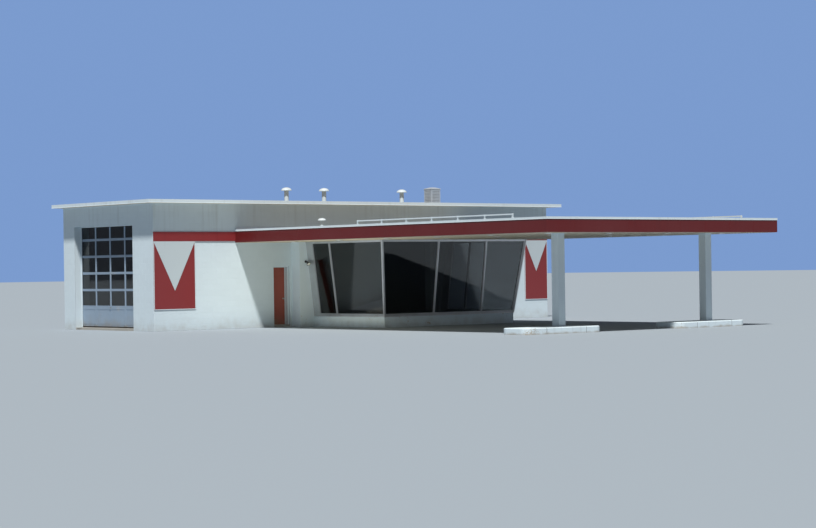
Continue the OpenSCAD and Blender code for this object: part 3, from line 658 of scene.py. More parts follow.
def spaced(start, end, pitch):
    """Places at even steps of about one pitch, with both ends."""
    count = max(1, round((end - start) / pitch))
    return [start + (end - start) * step / count for step in range(count + 1)]


def corners(points):
    """The lowest and highest corners of some points."""
    points = list(points)
    low = Vector([min(point[axis] for point in points) for axis in range(3)])
    high = Vector([max(point[axis] for point in points) for axis in range(3)])
    return low, high


def spread_of(face):
    """The lowest and highest corners of a face."""
    return corners(vert.co for vert in face.verts)


def merged_copy(node):
    """A bmesh of a CAD node with its loose triangles welded into whole faces."""
    bm = bmesh.new()
    bm.from_mesh(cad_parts[node].data)
    bmesh.ops.remove_doubles(bm, verts=bm.verts, dist=WELD)
    bmesh.ops.dissolve_limit(bm, angle_limit=math.radians(1), verts=bm.verts, edges=bm.edges)
    return bm


def solids_of(node):
    """The points of each of a node's separate solids, from left to right and front to back."""
    bm = merged_copy(node)
    left, found = set(bm.verts), []
    while left:
        todo = [left.pop()]
        points = []
        while todo:
            vert = todo.pop()
            points.append(vert.co.copy())
            near = {edge.other_vert(vert) for edge in vert.link_edges} & left
            left -= near
            todo.extend(near)
        found.append(points)
    bm.free()
    return sorted(found, key=lambda points: [round(part, 3) for part in corners(points)[0]])


def boxes_of(node):
    """The lowest and highest corners of each of a node's separate solids."""
    return [corners(points) for points in solids_of(node)]


def add_object(name, data):
    """Puts data into the scene as an object."""
    made = bpy.data.objects.new(name, data)
    bpy.context.scene.collection.objects.link(made)
    return made


def mesh_object(name, bm, material):
    """Turns a bmesh into an object in the scene."""
    mesh = bpy.data.meshes.new(name)
    bm.to_mesh(mesh)
    bm.free()
    mesh.materials.append(material)
    return add_object(name, mesh)


def piece(name, bm, material, body=BODY):
    """Turns a bmesh into a piece of the object that rides on a body."""
    bmesh.ops.recalc_face_normals(bm, faces=bm.faces)
    made = mesh_object(name, bm, finish(material))
    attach(made, body)


class StationOperator(bpy.types.Operator):
    """Shared settings of the station's operators."""

    bl_options = {"REGISTER", "UNDO"}


class STATION_OT_stage(StationOperator):
    """Make the floor, the light and the camera"""

    bl_idname = "station.stage"
    bl_label = "Stage"

    def execute(self, context):
        settings = context.scene.station_stage
        bm = bmesh.new()
        bmesh.ops.create_grid(bm, x_segments=1, y_segments=1, size=settings.floor_size / 2)
        floor = mesh_object("floor", bm, Finish("plain_floor", settings.floor_colour, 0.9).done())
        context.scene.view_settings.view_transform = "Standard"
        self.sun(settings)
        self.bounce(settings)
        self.sky(context, settings)
        self.camera(context, settings)
        return {"FINISHED"}

    def lamp(self, name, kind, strength, colour):
        """A light of the given kind."""
        data = bpy.data.lights.new(name, kind)
        data.energy = strength
        data.color = colour
        return add_object(name, data)

    def sun(self, settings):
        """A soft key light."""
        sun = self.lamp("sun", "SUN", settings.sun_strength, settings.sun_colour)
        sun.data.angle = settings.sun_softness
        sun.rotation_mode = "QUATERNION"
        sun.rotation_quaternion = Vector(settings.sun_way).to_track_quat("-Z", "Y")

    def bounce(self, settings):
        """Light thrown up from the ground before the wall and left of the office."""
        bounce = self.lamp("bounce", "AREA", settings.bounce_strength, settings.bounce_colour)
        width, depth, gap = settings.bounce_width, settings.bounce_depth, settings.bounce_gap
        bounce.data.shape = "RECTANGLE"
        bounce.data.size, bounce.data.size_y = width, depth
        wall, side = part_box("front_wall_left")[0].y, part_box("office_sill")[0].x
        bounce.location = (side - gap - width / 2, wall - 2 * gap - depth / 2, 0.01)
        bounce.rotation_euler = (math.pi, 0, 0)
        bounce.visible_camera = False
        bounce.visible_glossy = False

    def sky(self, context, settings):
        """An even sky, deeper in the picture than in the light that it casts."""
        world = bpy.data.worlds.new("sky")
        context.scene.world = world
        world.use_nodes = True
        tree = world.node_tree
        back = tree.nodes["Background"]
        seen = put(tree, "LightPath").outputs["Is Camera Ray"]
        feed(tree, back.inputs["Color"], mix_colours(tree, seen, settings.sky_light, settings.sky_shown))
        feed(tree, back.inputs["Strength"], mix_values(tree, seen, settings.sky_strength, 1.0))

    def camera(self, context, settings):
        """The camera, turned, tilted and rolled."""
        data = bpy.data.cameras.new("camera")
        data.lens = settings.lens
        data.clip_end = settings.floor_size
        camera = add_object("camera", data)
        level = Matrix.Rotation(-settings.heading, 3, "Z") @ Matrix.Rotation(math.pi / 2, 3, "X")
        tilted = level @ Matrix.Rotation(settings.pitch, 3, "X")
        turned = tilted @ Matrix.Rotation(-settings.roll, 3, "Z")
        camera.rotation_euler = turned.to_euler()
        camera.location = settings.camera_place
        context.scene.camera = camera


def split(bm, axis, value, wanted):
    """Cuts a flat sheet's wanted faces along a line across one axis."""
    cut = set()
    for face in bm.faces:
        low, high = spread_of(face)
        if low[axis] < value - WELD and high[axis] > value + WELD and wanted(low, high):
            cut.update((face, *face.edges, *face.verts))
    normal = Vector((0, 0, 0))
    normal[axis] = 1
    if cut:
        bmesh.ops.bisect_plane(bm, geom=list(cut), dist=WELD, plane_co=normal * value, plane_no=normal)


def cut_hole(sheet, left, right, foot, head):
    """Takes a rectangle out of a flat sheet."""
    for side in (left, right):
        split(sheet, 0, side, lambda low, high: low.y < head - WELD and high.y > foot + WELD)
    for side in (foot, head):
        split(sheet, 1, side, lambda low, high: low.x > left - WELD and high.x < right + WELD)
    inside = []
    for face in sheet.faces:
        low, high = spread_of(face)
        across = low.x > left - WELD and high.x < right + WELD
        if across and low.y > foot - WELD and high.y < head + WELD:
            inside.append(face)
    bmesh.ops.delete(sheet, geom=inside, context="FACES")


def lay_blocks(bm, trim, place, width, height, holes=()):
    """A skin of blocks in running bond on a wall; holes are (left, right, foot, head)."""
    least, root, clear = trim.block_height / 4, 2 * trim.block_rise, trim.block_rise / 6
    sheet = flat_sheet(width, height)
    level = trim.block_height
    while level < height - least:
        split(sheet, 1, level, lambda low, high: True)
        level += trim.block_height
    along = place.to_3x3() @ RIGHT
    way = along.x + along.y
    start = place.translation.x + place.translation.y
    for odd in (0, 1):
        first = (odd + 1) % 2 * trim.block_length / 2 - start
        for count in range(-MOST_BLOCKS, MOST_BLOCKS):
            joint = (first + count * trim.block_length) * way
            if least < joint < width - least:
                split(sheet, 0, joint, lambda low, high: round(low.y / trim.block_height) % 2 == odd)
    for hole in holes:
        cut_hole(sheet, *hole)
    faces = []
    for face in sheet.faces:
        low, high = spread_of(face)
        if min(high.x - low.x, high.y - low.y) > 3 * trim.block_joint:
            faces.append(face)
    bmesh.ops.inset_individual(
        sheet, faces=faces, thickness=trim.block_joint / 2, depth=trim.block_rise, use_even_offset=True
    )
    rim = [edge for edge in sheet.edges if edge.is_boundary]
    grown = bmesh.ops.extrude_edge_only(sheet, edges=rim)["geom"]
    moved = [item for item in grown if isinstance(item, bmesh.types.BMVert)]
    bmesh.ops.translate(sheet, vec=(0, 0, -root), verts=moved)
    rim = [edge for edge in sheet.edges if edge.is_boundary]
    bmesh.ops.triangle_fill(sheet, edges=rim, use_beauty=True, use_dissolve=False, normal=DOWN)
    stamp(bm, sheet, [place @ Matrix.Translation((0, 0, clear))])


class STATION_OT_walls(StationOperator):
    """Finish the walls and the floor, and lay the blocks' faces"""

    bl_idname = "station.walls"
    bl_label = "Walls"

    def execute(self, context):
        dress("white_wall", "end_wall_front", "end_wall_back", "end_wall_lintel", "far_end_wall")
        dress("white_wall", "back_wall", *[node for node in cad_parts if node.startswith("front_wall")])
        dress("render", "office_piers", "office_sill")
        dress("concrete", "floor_slab")
        low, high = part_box("end_wall_front")[0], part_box("far_end_wall")[1]
        self.blocks(context.scene.station_trim, low, high)
        bm, size = bmesh.new(), 0.030
        add_ring(bm, low, high, out=size, lap=0.005, foot=high.z - size, height=size)
        piece("eave_mould", bm, "white_metal")
        return {"FINISHED"}

    def blocks(self, trim, low, high):
        """Skins on the four sides; the ones in front and at the back close the corners."""
        over = trim.block_rise
        width, depth = high.x - low.x + 2 * over, high.y - low.y
        door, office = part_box("restroom_frame"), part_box("front_wall_over_office")
        start = low.x - over
        holes = [
            (door[0].x - start, door[1].x - start, 0, door[1].z),
            (office[0].x - start, office[1].x - start, 0, office[0].z),
        ]
        bm = bmesh.new()
        lay_blocks(bm, trim, place_on((start, low.y, 0), FRONT), width, high.z, holes)
        piece("front_wall_blocks", bm, "white_wall")
        bm = bmesh.new()
        lay_blocks(bm, trim, place_on((high.x + over, high.y, 0), BACK), width, high.z)
        piece("back_wall_blocks", bm, "white_wall")
        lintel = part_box("end_wall_lintel")
        holes = [(high.y - lintel[1].y, high.y - lintel[0].y, 0, lintel[0].z)]
        bm = bmesh.new()
        lay_blocks(bm, trim, place_on((low.x, high.y, 0), LEFT), depth, high.z, holes)
        lay_blocks(bm, trim, place_on((high.x, low.y, 0), RIGHT), depth, high.z)
        piece("end_wall_blocks", bm, "white_wall")


def edge_covers(name, trim, node, sides, face, back, foot, heights, ends):
    """Covers over the joints of a metal edge, with two screws at each height.

    The edge's face and back lie so far in from the node's box, and the covers start at the foot.
    """
    low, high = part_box(node)
    top, lift, sunk = high.z - low.z, 0.0025, 0.001
    outline = [(face - lift, foot), (face - lift, top + lift), (back, top + lift)]
    outline += [(back, top - sunk), (face, top - sunk), (face, foot)]
    half = Matrix.Translation((0, 0, -trim.cover_width / 2))
    bm, screws = bmesh.new(), []
    for side in sides:
        axis = 1 if side.x else 0
        point = Vector((high.x if side.x > 0 else low.x, high.y if side.y > 0 else low.y, low.z))
        for along in spaced(low[axis] + ends, high[axis] - ends, trim.cover_pitch):
            point[axis] = along
            place = edge_place(point, -side) @ half
            add_bar(bm, outline, place, trim.cover_width)
            for height in heights:
                for share in (0.2, 0.8):
                    spot = place @ Vector((face - lift, height, trim.cover_width * share))
                    screws.append(place_on(spot, side))
    add_screws(bm, trim, screws)
    piece(name, bm, "white_metal")


class STATION_OT_roof(StationOperator):
    """Finish the roof, its metal edge, its vents and the cooler"""

    bl_idname = "station.roof"
    bl_label = "Roof"

    def execute(self, context):
        trim = context.scene.station_trim
        dress("roof_gravel", "roof_slab")
        dress("white_metal", "roof_edge", "roof_vents")
        dress("galvanised", "roof_cooler")
        edge_covers(
            "roof_edge_covers",
            trim,
            "roof_edge",
            (LEFT, RIGHT, FRONT, BACK),
            face=0.0082,
            back=0.024,
            foot=0.020,
            heights=(0.045, 0.095),
            ends=1.0,
        )
        self.vent_collars()
        self.cooler_trim(trim)
        return {"FINISHED"}

    def vent_collars(self):
        """Storm collars on the pipes, and tar round the flanges of their boots."""
        skirt = [(-0.002, 0.105), (0.034, 0.072), (0.036, 0.075)]
        skirt += [(0.008, 0.112), (0.008, 0.128), (-0.002, 0.128)]
        bead = [(-0.030, -0.004), (0.035, -0.004), (0.026, 0.006)]
        bead += [(0.004, 0.012), (-0.020, 0.0085), (-0.030, 0.0055)]
        sheet, boot, cap = 0.004, 0.03, 0.12
        collars, tar = bmesh.new(), bmesh.new()
        for points in solids_of("roof_vents"):
            low, high = corners(points)
            centre = (low + high) / 2
            rings = [((point.xy - centre.xy).length, point.z - low.z) for point in points]
            pipe = min(radius for radius, height in rings if boot < height < cap)
            flange = max(radius for radius, height in rings if height < sheet)
            foot = Matrix.Translation((centre.x, centre.y, low.z))
            add_lathe(collars, skirt, [foot], pipe)
            add_lathe(tar, bead, [foot], flange)
        piece("vent_collars", collars, "galvanised")
        piece("vent_tar", tar, "tar")

    def cooler_trim(self, trim):
        """Screws along the lid and the kerb, and tar round the foot."""
        low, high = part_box("roof_cooler")
        bm, places = bmesh.new(), []
        kerb, lid = 0.06, 0.065
        for height in (low.z + kerb, high.z - lid):
            for share in (0.12, 0.5, 0.88):
                x, y = low.x + (high.x - low.x) * share, low.y + (high.y - low.y) * share
                places.append(place_on((x, low.y, height), FRONT))
                places.append(place_on((x, high.y, height), BACK))
                places.append(place_on((low.x, y, height), LEFT))
                places.append(place_on((high.x, y, height), RIGHT))
        add_screws(bm, trim, places)
        piece("cooler_screws", bm, "galvanised")
        bm, sunk = bmesh.new(), 0.004
        add_ring(bm, low, high, out=0.045, lap=sunk, foot=low.z - sunk, height=0.014)
        piece("cooler_tar", bm, "tar")


def make_beads(name, trim, node, material):
    """Glazing beads round both faces of each pane of a glass node."""
    bm = merged_copy(node)
    least = max(face.calc_area() for face in bm.faces) / 8
    panes = [face for face in bm.faces if face.calc_area() > least]
    edges = [face for face in bm.faces if face.calc_area() <= least]
    bmesh.ops.delete(bm, geom=edges, context="FACES_ONLY")
    inset = bmesh.ops.inset_individual(bm, faces=panes, thickness=trim.bead_width, use_even_offset=True)
    bmesh.ops.delete(bm, geom=panes, context="FACES_ONLY")
    bmesh.ops.solidify(bm, geom=inset["faces"], thickness=-trim.bead_rise)
    loose = [edge for edge in bm.edges if not edge.link_faces]
    bmesh.ops.delete(bm, geom=loose, context="EDGES")
    piece(name, bm, material)


class STATION_OT_garage_door(StationOperator):
    """Finish the garage door and add its beads, mouldings, stops, seals and handles"""

    bl_idname = "station.garage_door"
    bl_label = "Garage door"

    def execute(self, context):
        trim = context.scene.station_trim
        dress("pale_blue", "garage_door_frame", "garage_door_panel")
        dress("window_glass", "garage_door_glass")
        make_beads("garage_door_beads", trim, "garage_door_glass", "pale_blue")
        low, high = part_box("garage_door_panel")
        self.mouldings(low, high)
        self.stops(low)
        self.handles(trim, low, high)
        return {"FINISHED"}

    def mouldings(self, panel_low, panel_high):
        """Raised mouldings on the solid section, in line with the panes above it."""
        panes = boxes_of("garage_door_glass")
        foot = min(low.z for low, high in panes)
        below, margins, step = 0.11, 0.17, 0.045
        start, height = panel_low.z + below, panel_high.z - panel_low.z - margins
        bm = bmesh.new()
        for low, high in panes:
            if low.z < foot + WELD:
                place, width = place_on((panel_low.x, high.y, start), LEFT), high.y - low.y
                add_frame(bm, place, width, height, border=0.022, depth=0.006)
                inner = place @ Matrix.Translation((step, step, 0))
                add_frame(bm, inner, width - 2 * step, height - 2 * step, border=0.010, depth=0.003)
        piece("garage_panel_mouldings", bm, "pale_blue")

    def stops(self, panel_low):
        """Stops in the doorway's corners, with rubber flaps and a foot seal that touch the door."""
        low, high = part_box("end_wall_lintel")
        face, foot, top = panel_low.x, panel_low.z, low.z
        wide, deep, flap, clear = 0.035, 0.018, 0.012, 0.0005
        back, outer, inner = face - clear, face - 0.006, face - 0.001
        bm, rubber = bmesh.new(), bmesh.new()
        for y, way in ((low.y, 1), (high.y, -1)):
            sides = sorted((y, y + way * wide))
            add_box(bm, (face - deep, sides[0], 0), (back, sides[1], top), 0.003)
            sides = sorted((y + way * wide, y + way * (wide + flap)))
            add_box(rubber, (outer, sides[0], foot), (inner, sides[1], top - wide), 0.001)
        start, end, head = low.y + wide, high.y - wide, top - wide
        add_box(bm, (face - deep, start, head), (back, end, top), 0.003)
        add_box(rubber, (outer, start, head - flap), (inner, end, head), 0.001)
        piece("garage_door_stops", bm, "white_metal")
        gap, thick, tall = 0.002, 0.012, 0.055
        start, end = low.y + gap, high.y - gap
        add_box(rubber, (face - thick, start, foot), (back, end, foot + tall), 0.004)
        piece("garage_door_seals", rubber, "rubber")

    def handles(self, trim, low, high):
        """Two lift handles on the solid section, and the lock's turning handle between them."""
        face, middle, lock = low.x, (low.y + high.y) / 2, high.z - 0.035
        level, plate, reach, screw = low.z + 0.077, face - 0.003, 0.036, 0.014
        apart, leg, half, wide, tall, turn = 1.0, 0.07, 0.076, 0.018, 0.022, 0.045
        grip, bar = face - reach, 0.007
        bm, places = bmesh.new(), []
        for y in (middle - apart, middle + apart):
            for end in (y - leg, y + leg):
                corner = (face, end + wide, level + tall)
                add_box(bm, (plate, end - wide, level - tall), corner, 0.001)
                add_rod(bm, (face, end, level), (grip, end, level), 0.006, sides=10)
                for z in (level + screw, level - screw):
                    places.append(place_on((plate, end, z), LEFT))
            add_rod(bm, (grip, y - half, level), (grip, y + half, level), bar)
        add_rod(bm, (face, middle, lock), (face - 0.004, middle, lock), 0.026, sides=24)
        add_rod(bm, (face, middle, lock), (face - 0.034, middle, lock), 0.008)
        add_rod(bm, (grip, middle - turn, lock), (grip, middle + turn, lock), bar)
        add_screws(bm, trim, places)
        piece("garage_door_handles", bm, "hardware")


class STATION_OT_restroom_door(StationOperator):
    """Finish the restroom door and its frame, and add its threshold and hinge screws"""

    bl_idname = "station.restroom_door"
    bl_label = "Restroom door"

    def execute(self, context):
        trim = context.scene.station_trim
        dress("white_metal", "restroom_frame")
        dress("red_door", "restroom_door")
        dress("hardware", "door_knob", "hinge_pins", "hinge_knuckles")
        low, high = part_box("restroom_frame")
        out, gap, foot = 0.03, 0.006, low.z
        start, end = low.y - out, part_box("restroom_door")[0].y - gap
        slope, rise, jamb = 0.02, 0.010, 0.045
        saddle = [(start, foot), (start + slope, foot + rise), (end - slope, foot + rise), (end, foot)]
        bm = bmesh.new()
        add_bar(bm, saddle, edge_place((low.x + jamb, 0, 0), BACK), high.x - low.x - 2 * jamb)
        piece("restroom_threshold", bm, "aluminium")
        self.hinge_screws(trim, "frame_hinge_screws", "hinge_pins", BODY, side=0, way=1, spread=0.04)
        self.hinge_screws(trim, "leaf_hinge_screws", "hinge_knuckles", LEAF, side=1, way=-1, spread=0.011)
        return {"FINISHED"}

    def hinge_screws(self, trim, name, node, body, side, way, spread):
        """Four screws on each plate, in from one side of the plate's box."""
        plate, places = 0.004, []
        for box in boxes_of(node):
            middle = (box[0].z + box[1].z) / 2
            for inset in (0.012, 0.030):
                for z in (middle - spread, middle + spread):
                    spot = (box[side].x + way * inset, box[0].y + plate, z)
                    places.append(place_on(spot, BACK))
        bm = bmesh.new()
        add_screws(bm, trim, places)
        piece(name, bm, "hardware", body)


class STATION_OT_wall_trim(StationOperator):
    """Finish the bands, the panels and the lamp on the front wall, and add their trim"""

    bl_idname = "station.wall_trim"
    bl_label = "Wall trim"

    def execute(self, context):
        trim = context.scene.station_trim
        dress("wall_enamel", "wall_bands", "wall_panels")
        dress("white_enamel", "panel_triangles")
        dress("dark_steel", "wall_lamp")
        bm, gap, edge = bmesh.new(), 0.002, 0.03
        for low, high in boxes_of("wall_bands"):
            points = [(x, low.y) for x in spaced(low.x, high.x, trim.seam_pitch)[1:-1]]
            levels = (low.z + edge, (low.z + high.z) / 2, high.z - edge)
            add_seams(bm, trim, points, FRONT, low.z + gap, high.z - gap, levels)
        piece("band_seams", bm, "wall_enamel")
        bm = bmesh.new()
        for low, high in boxes_of("wall_panels"):
            add_frame(bm, place_on(low, FRONT), high.x - low.x, high.z - low.z, border=0.020, depth=0.006)
        piece("panel_frames", bm, "white_metal")
        self.lamp()
        return {"FINISHED"}

    def lamp(self):
        """A rolled rim and an opal lens in the lamp's mouth."""
        low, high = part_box("wall_lamp")
        plate, arm, shade, mouth, slope = 0.045, 0.095, 0.140, 0.075, math.radians(40)
        way = Vector((0, -math.cos(slope), -math.sin(slope)))
        start = Vector(((low.x + high.x) / 2, high.y - arm, high.z - plate))
        place = place_on(start + way * shade, way)
        rim = [(-0.006, -0.004), (0.002, -0.006), (0.004, 0.0)]
        rim += [(0.002, 0.005), (-0.004, 0.006), (-0.008, 0.002)]
        bm = bmesh.new()
        add_lathe(bm, rim, [place], mouth)
        piece("lamp_rim", bm, "dark_steel")
        lens = [(0.0, -0.004), (mouth - 0.009, -0.004), (mouth - 0.010, 0.004)]
        lens += [(mouth * 0.70, 0.016), (mouth * 0.40, 0.024), (0.0, 0.027)]
        bm = bmesh.new()
        add_lathe(bm, lens, [place])
        piece("lamp_lens", bm, "lamp_glass")


class STATION_OT_office(StationOperator):
    """Finish the office's windows and add their beads, mullion caps and sill flashing"""

    bl_idname = "station.office"
    bl_label = "Office windows"

    def execute(self, context):
        trim = context.scene.station_trim
        dress("aluminium", "office_frame_left", "office_frame_front", "office_frame_right")
        dress("window_glass", "office_glass")
        make_beads("office_beads", trim, "office_glass", "aluminium")
        low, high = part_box("office_sill")
        self.caps(trim, low, high)
        self.flashing(low, high)
        return {"FINISHED"}

    def caps(self, trim, low, high):
        """Snap-on caps along the mullions, the rails and the two canted corners."""
        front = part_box("office_frame_front")
        lean, rise, z = low.y - front[0].y, front[1].z - high.z, high.z
        slope, cant = math.hypot(lean, rise), math.atan2(lean, rise)
        tip = Matrix.Rotation(math.pi / 2 + cant, 4, "X")
        ahead = Matrix.Translation((low.x, low.y, z)) @ tip
        left = Matrix.Translation((low.x, high.y, z)) @ Matrix.Rotation(-math.pi / 2, 4, "Z") @ tip
        middle = Matrix.Translation(((low.x + high.x) / 2, 0, 0))
        right = middle @ Matrix.Scale(-1, 4, RIGHT) @ middle.inverted() @ left
        panes = boxes_of("office_glass")
        reach = 0.1
        ahead_panes = [pane for pane in panes if pane[1].y < low.y + reach]
        left_panes = [pane for pane in panes if pane[1].x < low.x + reach][::-1]
        ahead_stops = [(a[1].x + b[0].x) / 2 - low.x for a, b in zip(ahead_panes, ahead_panes[1:])]
        left_stops = [high.y - (a[0].y + b[1].y) / 2 for a, b in zip(left_panes, left_panes[1:])]
        half, deep, sunk, rail, end = trim.mullion_cap / 2, 0.012, -0.002, 0.040, 0.052
        side = (left_stops, high.y - low.y, 0.0)
        bm = bmesh.new()
        for place, stops, length, spread in (
            (ahead, ahead_stops, high.x - low.x, lean), (left, *side), (right, *side)
        ):
            part = bmesh.new()
            for stop in stops:
                add_box(part, (stop - half, end, sunk), (stop + half, slope - end, deep), 0.003)
            for foot in (end - rail, slope - end):
                near, far = spread * foot / slope, lean * foot / slope
                add_box(part, (-near, foot, sunk), (length + far, foot + rail, deep * 0.7), 0.002)
            stamp(bm, part, [place])
        for x, way in ((low.x, -1), (high.x, 1)):
            foot = Vector((x, low.y, z))
            add_rod(bm, foot, foot + Vector((way * lean, -lean, rise)), 0.036)
        piece("mullion_caps", bm, "aluminium")

    def flashing(self, low, high):
        """A bent drip under the windows, outside the sill wall, and a stool inside it."""
        over, deep = 0.016, high.y - low.y
        drip = [(0.002, -0.002), (-over, -0.006), (-over, -0.028)]
        drip += [(-0.013, -0.028), (-0.013, -0.009), (0.002, -0.006)]
        bm = bmesh.new()
        add_bar(bm, drip, edge_place((low.x - over, low.y, high.z), BACK), high.x - low.x + 2 * over)
        add_bar(bm, drip, edge_place((low.x, high.y, high.z), RIGHT), deep)
        add_bar(bm, drip, edge_place((high.x, low.y, high.z), LEFT), deep)
        piece("sill_flashing", bm, "aluminium")
        bm = bmesh.new()
        start, end, top = 0.08, 0.17, high.z + 0.018
        add_box(bm, (low.x + start, low.y + start, high.z), (high.x - start, low.y + end, top), 0.004)
        for x in (low.x + start, high.x - end):
            add_box(bm, (x, low.y + end, high.z), (x + end - start, high.y, top), 0.004)
        piece("window_stool", bm, "render")


class STATION_OT_canopy(StationOperator):
    """Finish the canopy and add its seams, covers, ceiling strips, light rims and flashing"""

    bl_idname = "station.canopy"
    bl_label = "Canopy"

    def execute(self, context):
        trim = context.scene.station_trim
        dress("roof_gravel", "canopy_deck")
        dress("cream_soffit", "canopy_soffit")
        dress("dark_steel", "canopy_girders", "cross_beams")
        dress("edge_enamel", "fascia_left", "fascia_front", "fascia_right")
        dress("white_metal", "canopy_cap", "letter_rails")
        dress("lamp_glass", "soffit_lights")
        self.seams(trim)
        edge_covers(
            "cap_covers",
            trim,
            "canopy_cap",
            (LEFT, RIGHT, FRONT),
            face=0.0052,
            back=0.054,
            foot=0.012,
            heights=(0.040,),
            ends=1.3,
        )
        self.ceiling()
        self.light_rims()
        self.rail_feet()
        self.flashing()
        return {"FINISHED"}

    def seams(self, trim):
        """Strips over the seams and the corners of the edge boards' enamel sheets."""
        low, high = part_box("fascia_front")[0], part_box("fascia_right")[1]
        top, rise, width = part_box("canopy_cap")[0].z, trim.seam_rise, trim.seam_width
        under, over = 0.035, 0.025
        levels = (low.z + under, (low.z + top) / 2, top - over)
        across = spaced(low.x, high.x, trim.seam_pitch)[1:-1]
        along = spaced(low.y, high.y, trim.seam_pitch)[1:-1]
        bm = bmesh.new()
        add_seams(bm, trim, [(x, low.y) for x in across], FRONT, low.z, top, levels)
        for x, side in ((low.x, LEFT), (high.x, RIGHT)):
            add_seams(bm, trim, [(x, y) for y in along], side, low.z, top, levels)
            sides = sorted((x + side.x * rise, x - side.x * width))
            add_box(bm, (sides[0], low.y - rise, low.z), (sides[1], low.y + width, top), rise / 3)
        piece("fascia_seams", bm, "edge_enamel")

    def ceiling(self):
        """Strips over the ceiling sheets' joints, a moulding at the edge, and collars round the columns."""
        low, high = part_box("canopy_soffit")
        shafts = self.shafts()
        thick, half, clear, pitch, near = 0.005, 0.014, 0.05, 0.88, 0.07
        mould, collar = 0.008, 0.012
        bottom = low.z - thick
        bm = bmesh.new()
        for x in spaced(low.x, high.x, pitch)[1:-1]:
            stretches = [(low.y, high.y)]
            for start, end in shafts:
                if start.x - near < x < end.x + near:
                    stretches = [(low.y, start.y - clear), (end.y + clear, high.y)]
            for start, end in stretches:
                add_box(bm, (x - half, start, bottom), (x + half, end, low.z), thick / 3)
        rows = sorted({round((light[0].y + light[1].y) / 2, 3) for light in boxes_of("soffit_lights")})
        for row, after in zip(rows, rows[1:]):
            y = (row + after) / 2
            add_box(bm, (low.x, y - half, bottom - 0.001), (high.x, y + half, low.z), thick / 3)
        add_ring(bm, low, high, out=0, lap=0.030, foot=low.z - mould, height=mould)
        piece("ceiling_strips", bm, "cream_soffit")
        bm = bmesh.new()
        for start, end in shafts:
            add_ring(bm, start, end, out=0.050, lap=0, foot=low.z - collar, height=collar)
        piece("column_collars", bm, "white_metal")

    def shafts(self):
        """The corners of each column's head, which leave out its base plate."""
        found = []
        for points in solids_of("columns"):
            top = max(point.z for point in points)
            found.append(corners(point for point in points if point.z > top - 0.01))
        return found

    def light_rims(self):
        """Metal rims round the ceiling lights."""
        rim = [(-0.023, 0.0), (0.003, 0.0), (0.003, 0.006)]
        rim += [(-0.006, 0.0165), (-0.018, 0.0165), (-0.023, 0.011)]
        bm = bmesh.new()
        for low, high in boxes_of("soffit_lights"):
            radius = (high.x - low.x) / 2
            centre = (low.x + radius, low.y + radius, high.z)
            add_lathe(bm, rim, [place_on(centre, DOWN, BACK)], radius)
        piece("light_rims", bm, "aluminium")

    def rail_feet(self):
        """Foot plates, saddles and bolts on the posts of the bare rails."""
        posts, size, plate, lip = 7, 0.040, 0.006, 0.007
        reach, wrap, skin, skirt, bolt = 0.045, 0.004, 0.003, 0.012, 0.026
        bm, bolts = bmesh.new(), []
        for low, high in boxes_of("letter_rails"):
            left, right = (low.x - lip, high.x) if low.x < 0 else (low.x, high.x + lip)
            middle, foot, top = (low.x + high.x) / 2, high.z - size - skirt, high.z + skin
            for y in spaced(low.y, high.y - size, (high.y - size - low.y) / (posts - 1)):
                add_box(bm, (left, y - reach, low.z), (right, y + size + reach, low.z + plate), 0.001)
                start, end = (low.x - skin, y - wrap, foot), (high.x + skin, y + size + wrap, top)
                add_box(bm, start, end, 0.001)
                bolts.append(place_on((middle, y - bolt, low.z + plate), UP, BACK))
                bolts.append(place_on((middle, y + size + bolt, low.z + plate), UP, BACK))
                bolts.append(place_on((middle, y + size / 2, top), UP, BACK))
        part = bmesh.new()
        add_rod(part, (0, 0, 0), (0, 0, 0.008), 0.011, sides=6)
        stamp(bm, part, bolts)
        piece("rail_feet", bm, "white_metal")

    def flashing(self):
        """A bent flashing where the deck meets the wall."""
        low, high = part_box("canopy_deck")
        bend = [(-0.007, 0.0), (-0.007, 0.16), (-0.012, 0.164), (-0.014, 0.152), (-0.010, 0.150)]
        bend += [(-0.010, 0.016), (-0.020, 0.004), (-0.130, 0.003), (-0.130, 0.0)]
        bm = bmesh.new()
        add_bar(bm, bend, edge_place((low.x, high.y, high.z), BACK), high.x - low.x)
        piece("deck_flashing", bm, "galvanised")


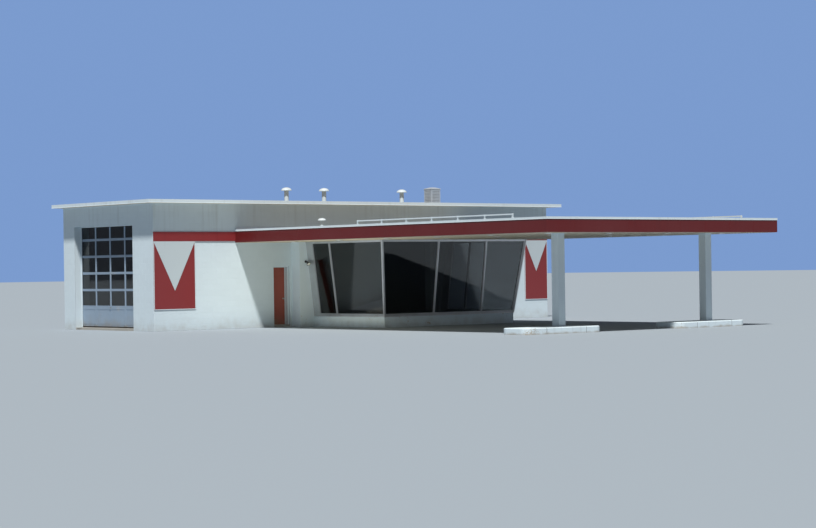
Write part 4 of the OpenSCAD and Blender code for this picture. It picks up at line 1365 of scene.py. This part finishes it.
class STATION_OT_islands(StationOperator):
    """Finish the columns and the islands, and add their joints and collars"""

    bl_idname = "station.islands"
    bl_label = "Columns and islands"

    def execute(self, context):
        dress("white_metal", "columns")
        dress("kerb_white", "islands")
        slope, proud, wide, shaft = 0.020, 0.0015, 0.010, 0.29
        before, after = 1.10, 0.60
        joints, collars = bmesh.new(), bmesh.new()
        for (low, high), column in zip(boxes_of("islands"), boxes_of("columns")):
            centre, middle, top = (column[0].x + column[1].x) / 2, (low.y + high.y) / 2, high.z
            side = (high.y - low.y) / 2 + proud
            flat = side - proud - slope
            outline = [(-side, 0.0), (-side, top - slope), (-flat, top + proud)]
            outline += [(flat, top + proud), (side, top - slope), (side, 0.0)]
            for x in (centre - before, centre + after):
                add_bar(joints, outline, edge_place((x - wide / 2, middle, 0), BACK), wide)
            start, end = (centre - shaft / 2, middle - shaft / 2), (centre + shaft / 2, middle + shaft / 2)
            add_ring(collars, start, end, out=0.025, lap=0, foot=top - 0.002, height=0.014)
        piece("island_joints", joints, "tar")
        piece("column_base_trim", collars, "white_metal")
        return {"FINISHED"}


class STATION_PT_panel(bpy.types.Panel):
    """Buttons that make the station's finishes and trim"""

    bl_label = "Filling station"
    bl_idname = "STATION_PT_panel"
    bl_space_type = "VIEW_3D"
    bl_region_type = "UI"
    bl_category = "Station"

    def draw(self, context):
        for operator in OPERATORS:
            self.layout.operator(operator.bl_idname)
        for group in GROUPS:
            box = self.layout.box()
            settings = getattr(context.scene, group)
            for name in settings.__annotations__:
                box.prop(settings, name)


OPERATORS = (
    STATION_OT_stage,
    STATION_OT_walls,
    STATION_OT_roof,
    STATION_OT_garage_door,
    STATION_OT_restroom_door,
    STATION_OT_wall_trim,
    STATION_OT_office,
    STATION_OT_canopy,
    STATION_OT_islands,
)
GROUPS = {
    "station_colours": StationColours,
    "station_trim": StationTrim,
    "station_stage": StationStage,
}
CLASSES = (*GROUPS.values(), *OPERATORS, STATION_PT_panel)


def register():
    for cls in CLASSES:
        bpy.utils.register_class(cls)
    for name, group in GROUPS.items():
        setattr(bpy.types.Scene, name, PointerProperty(type=group))


def unregister():
    for name in GROUPS:
        delattr(bpy.types.Scene, name)
    for cls in reversed(CLASSES):
        bpy.utils.unregister_class(cls)


def main():
    """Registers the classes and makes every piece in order."""
    register()
    for name, effect in EFFECTS.items():
        build_group(name, *effect)
    for operator in OPERATORS:
        group, name = operator.bl_idname.split(".")
        getattr(getattr(bpy.ops, group), name)()


if __name__ == "__main__":
    main()
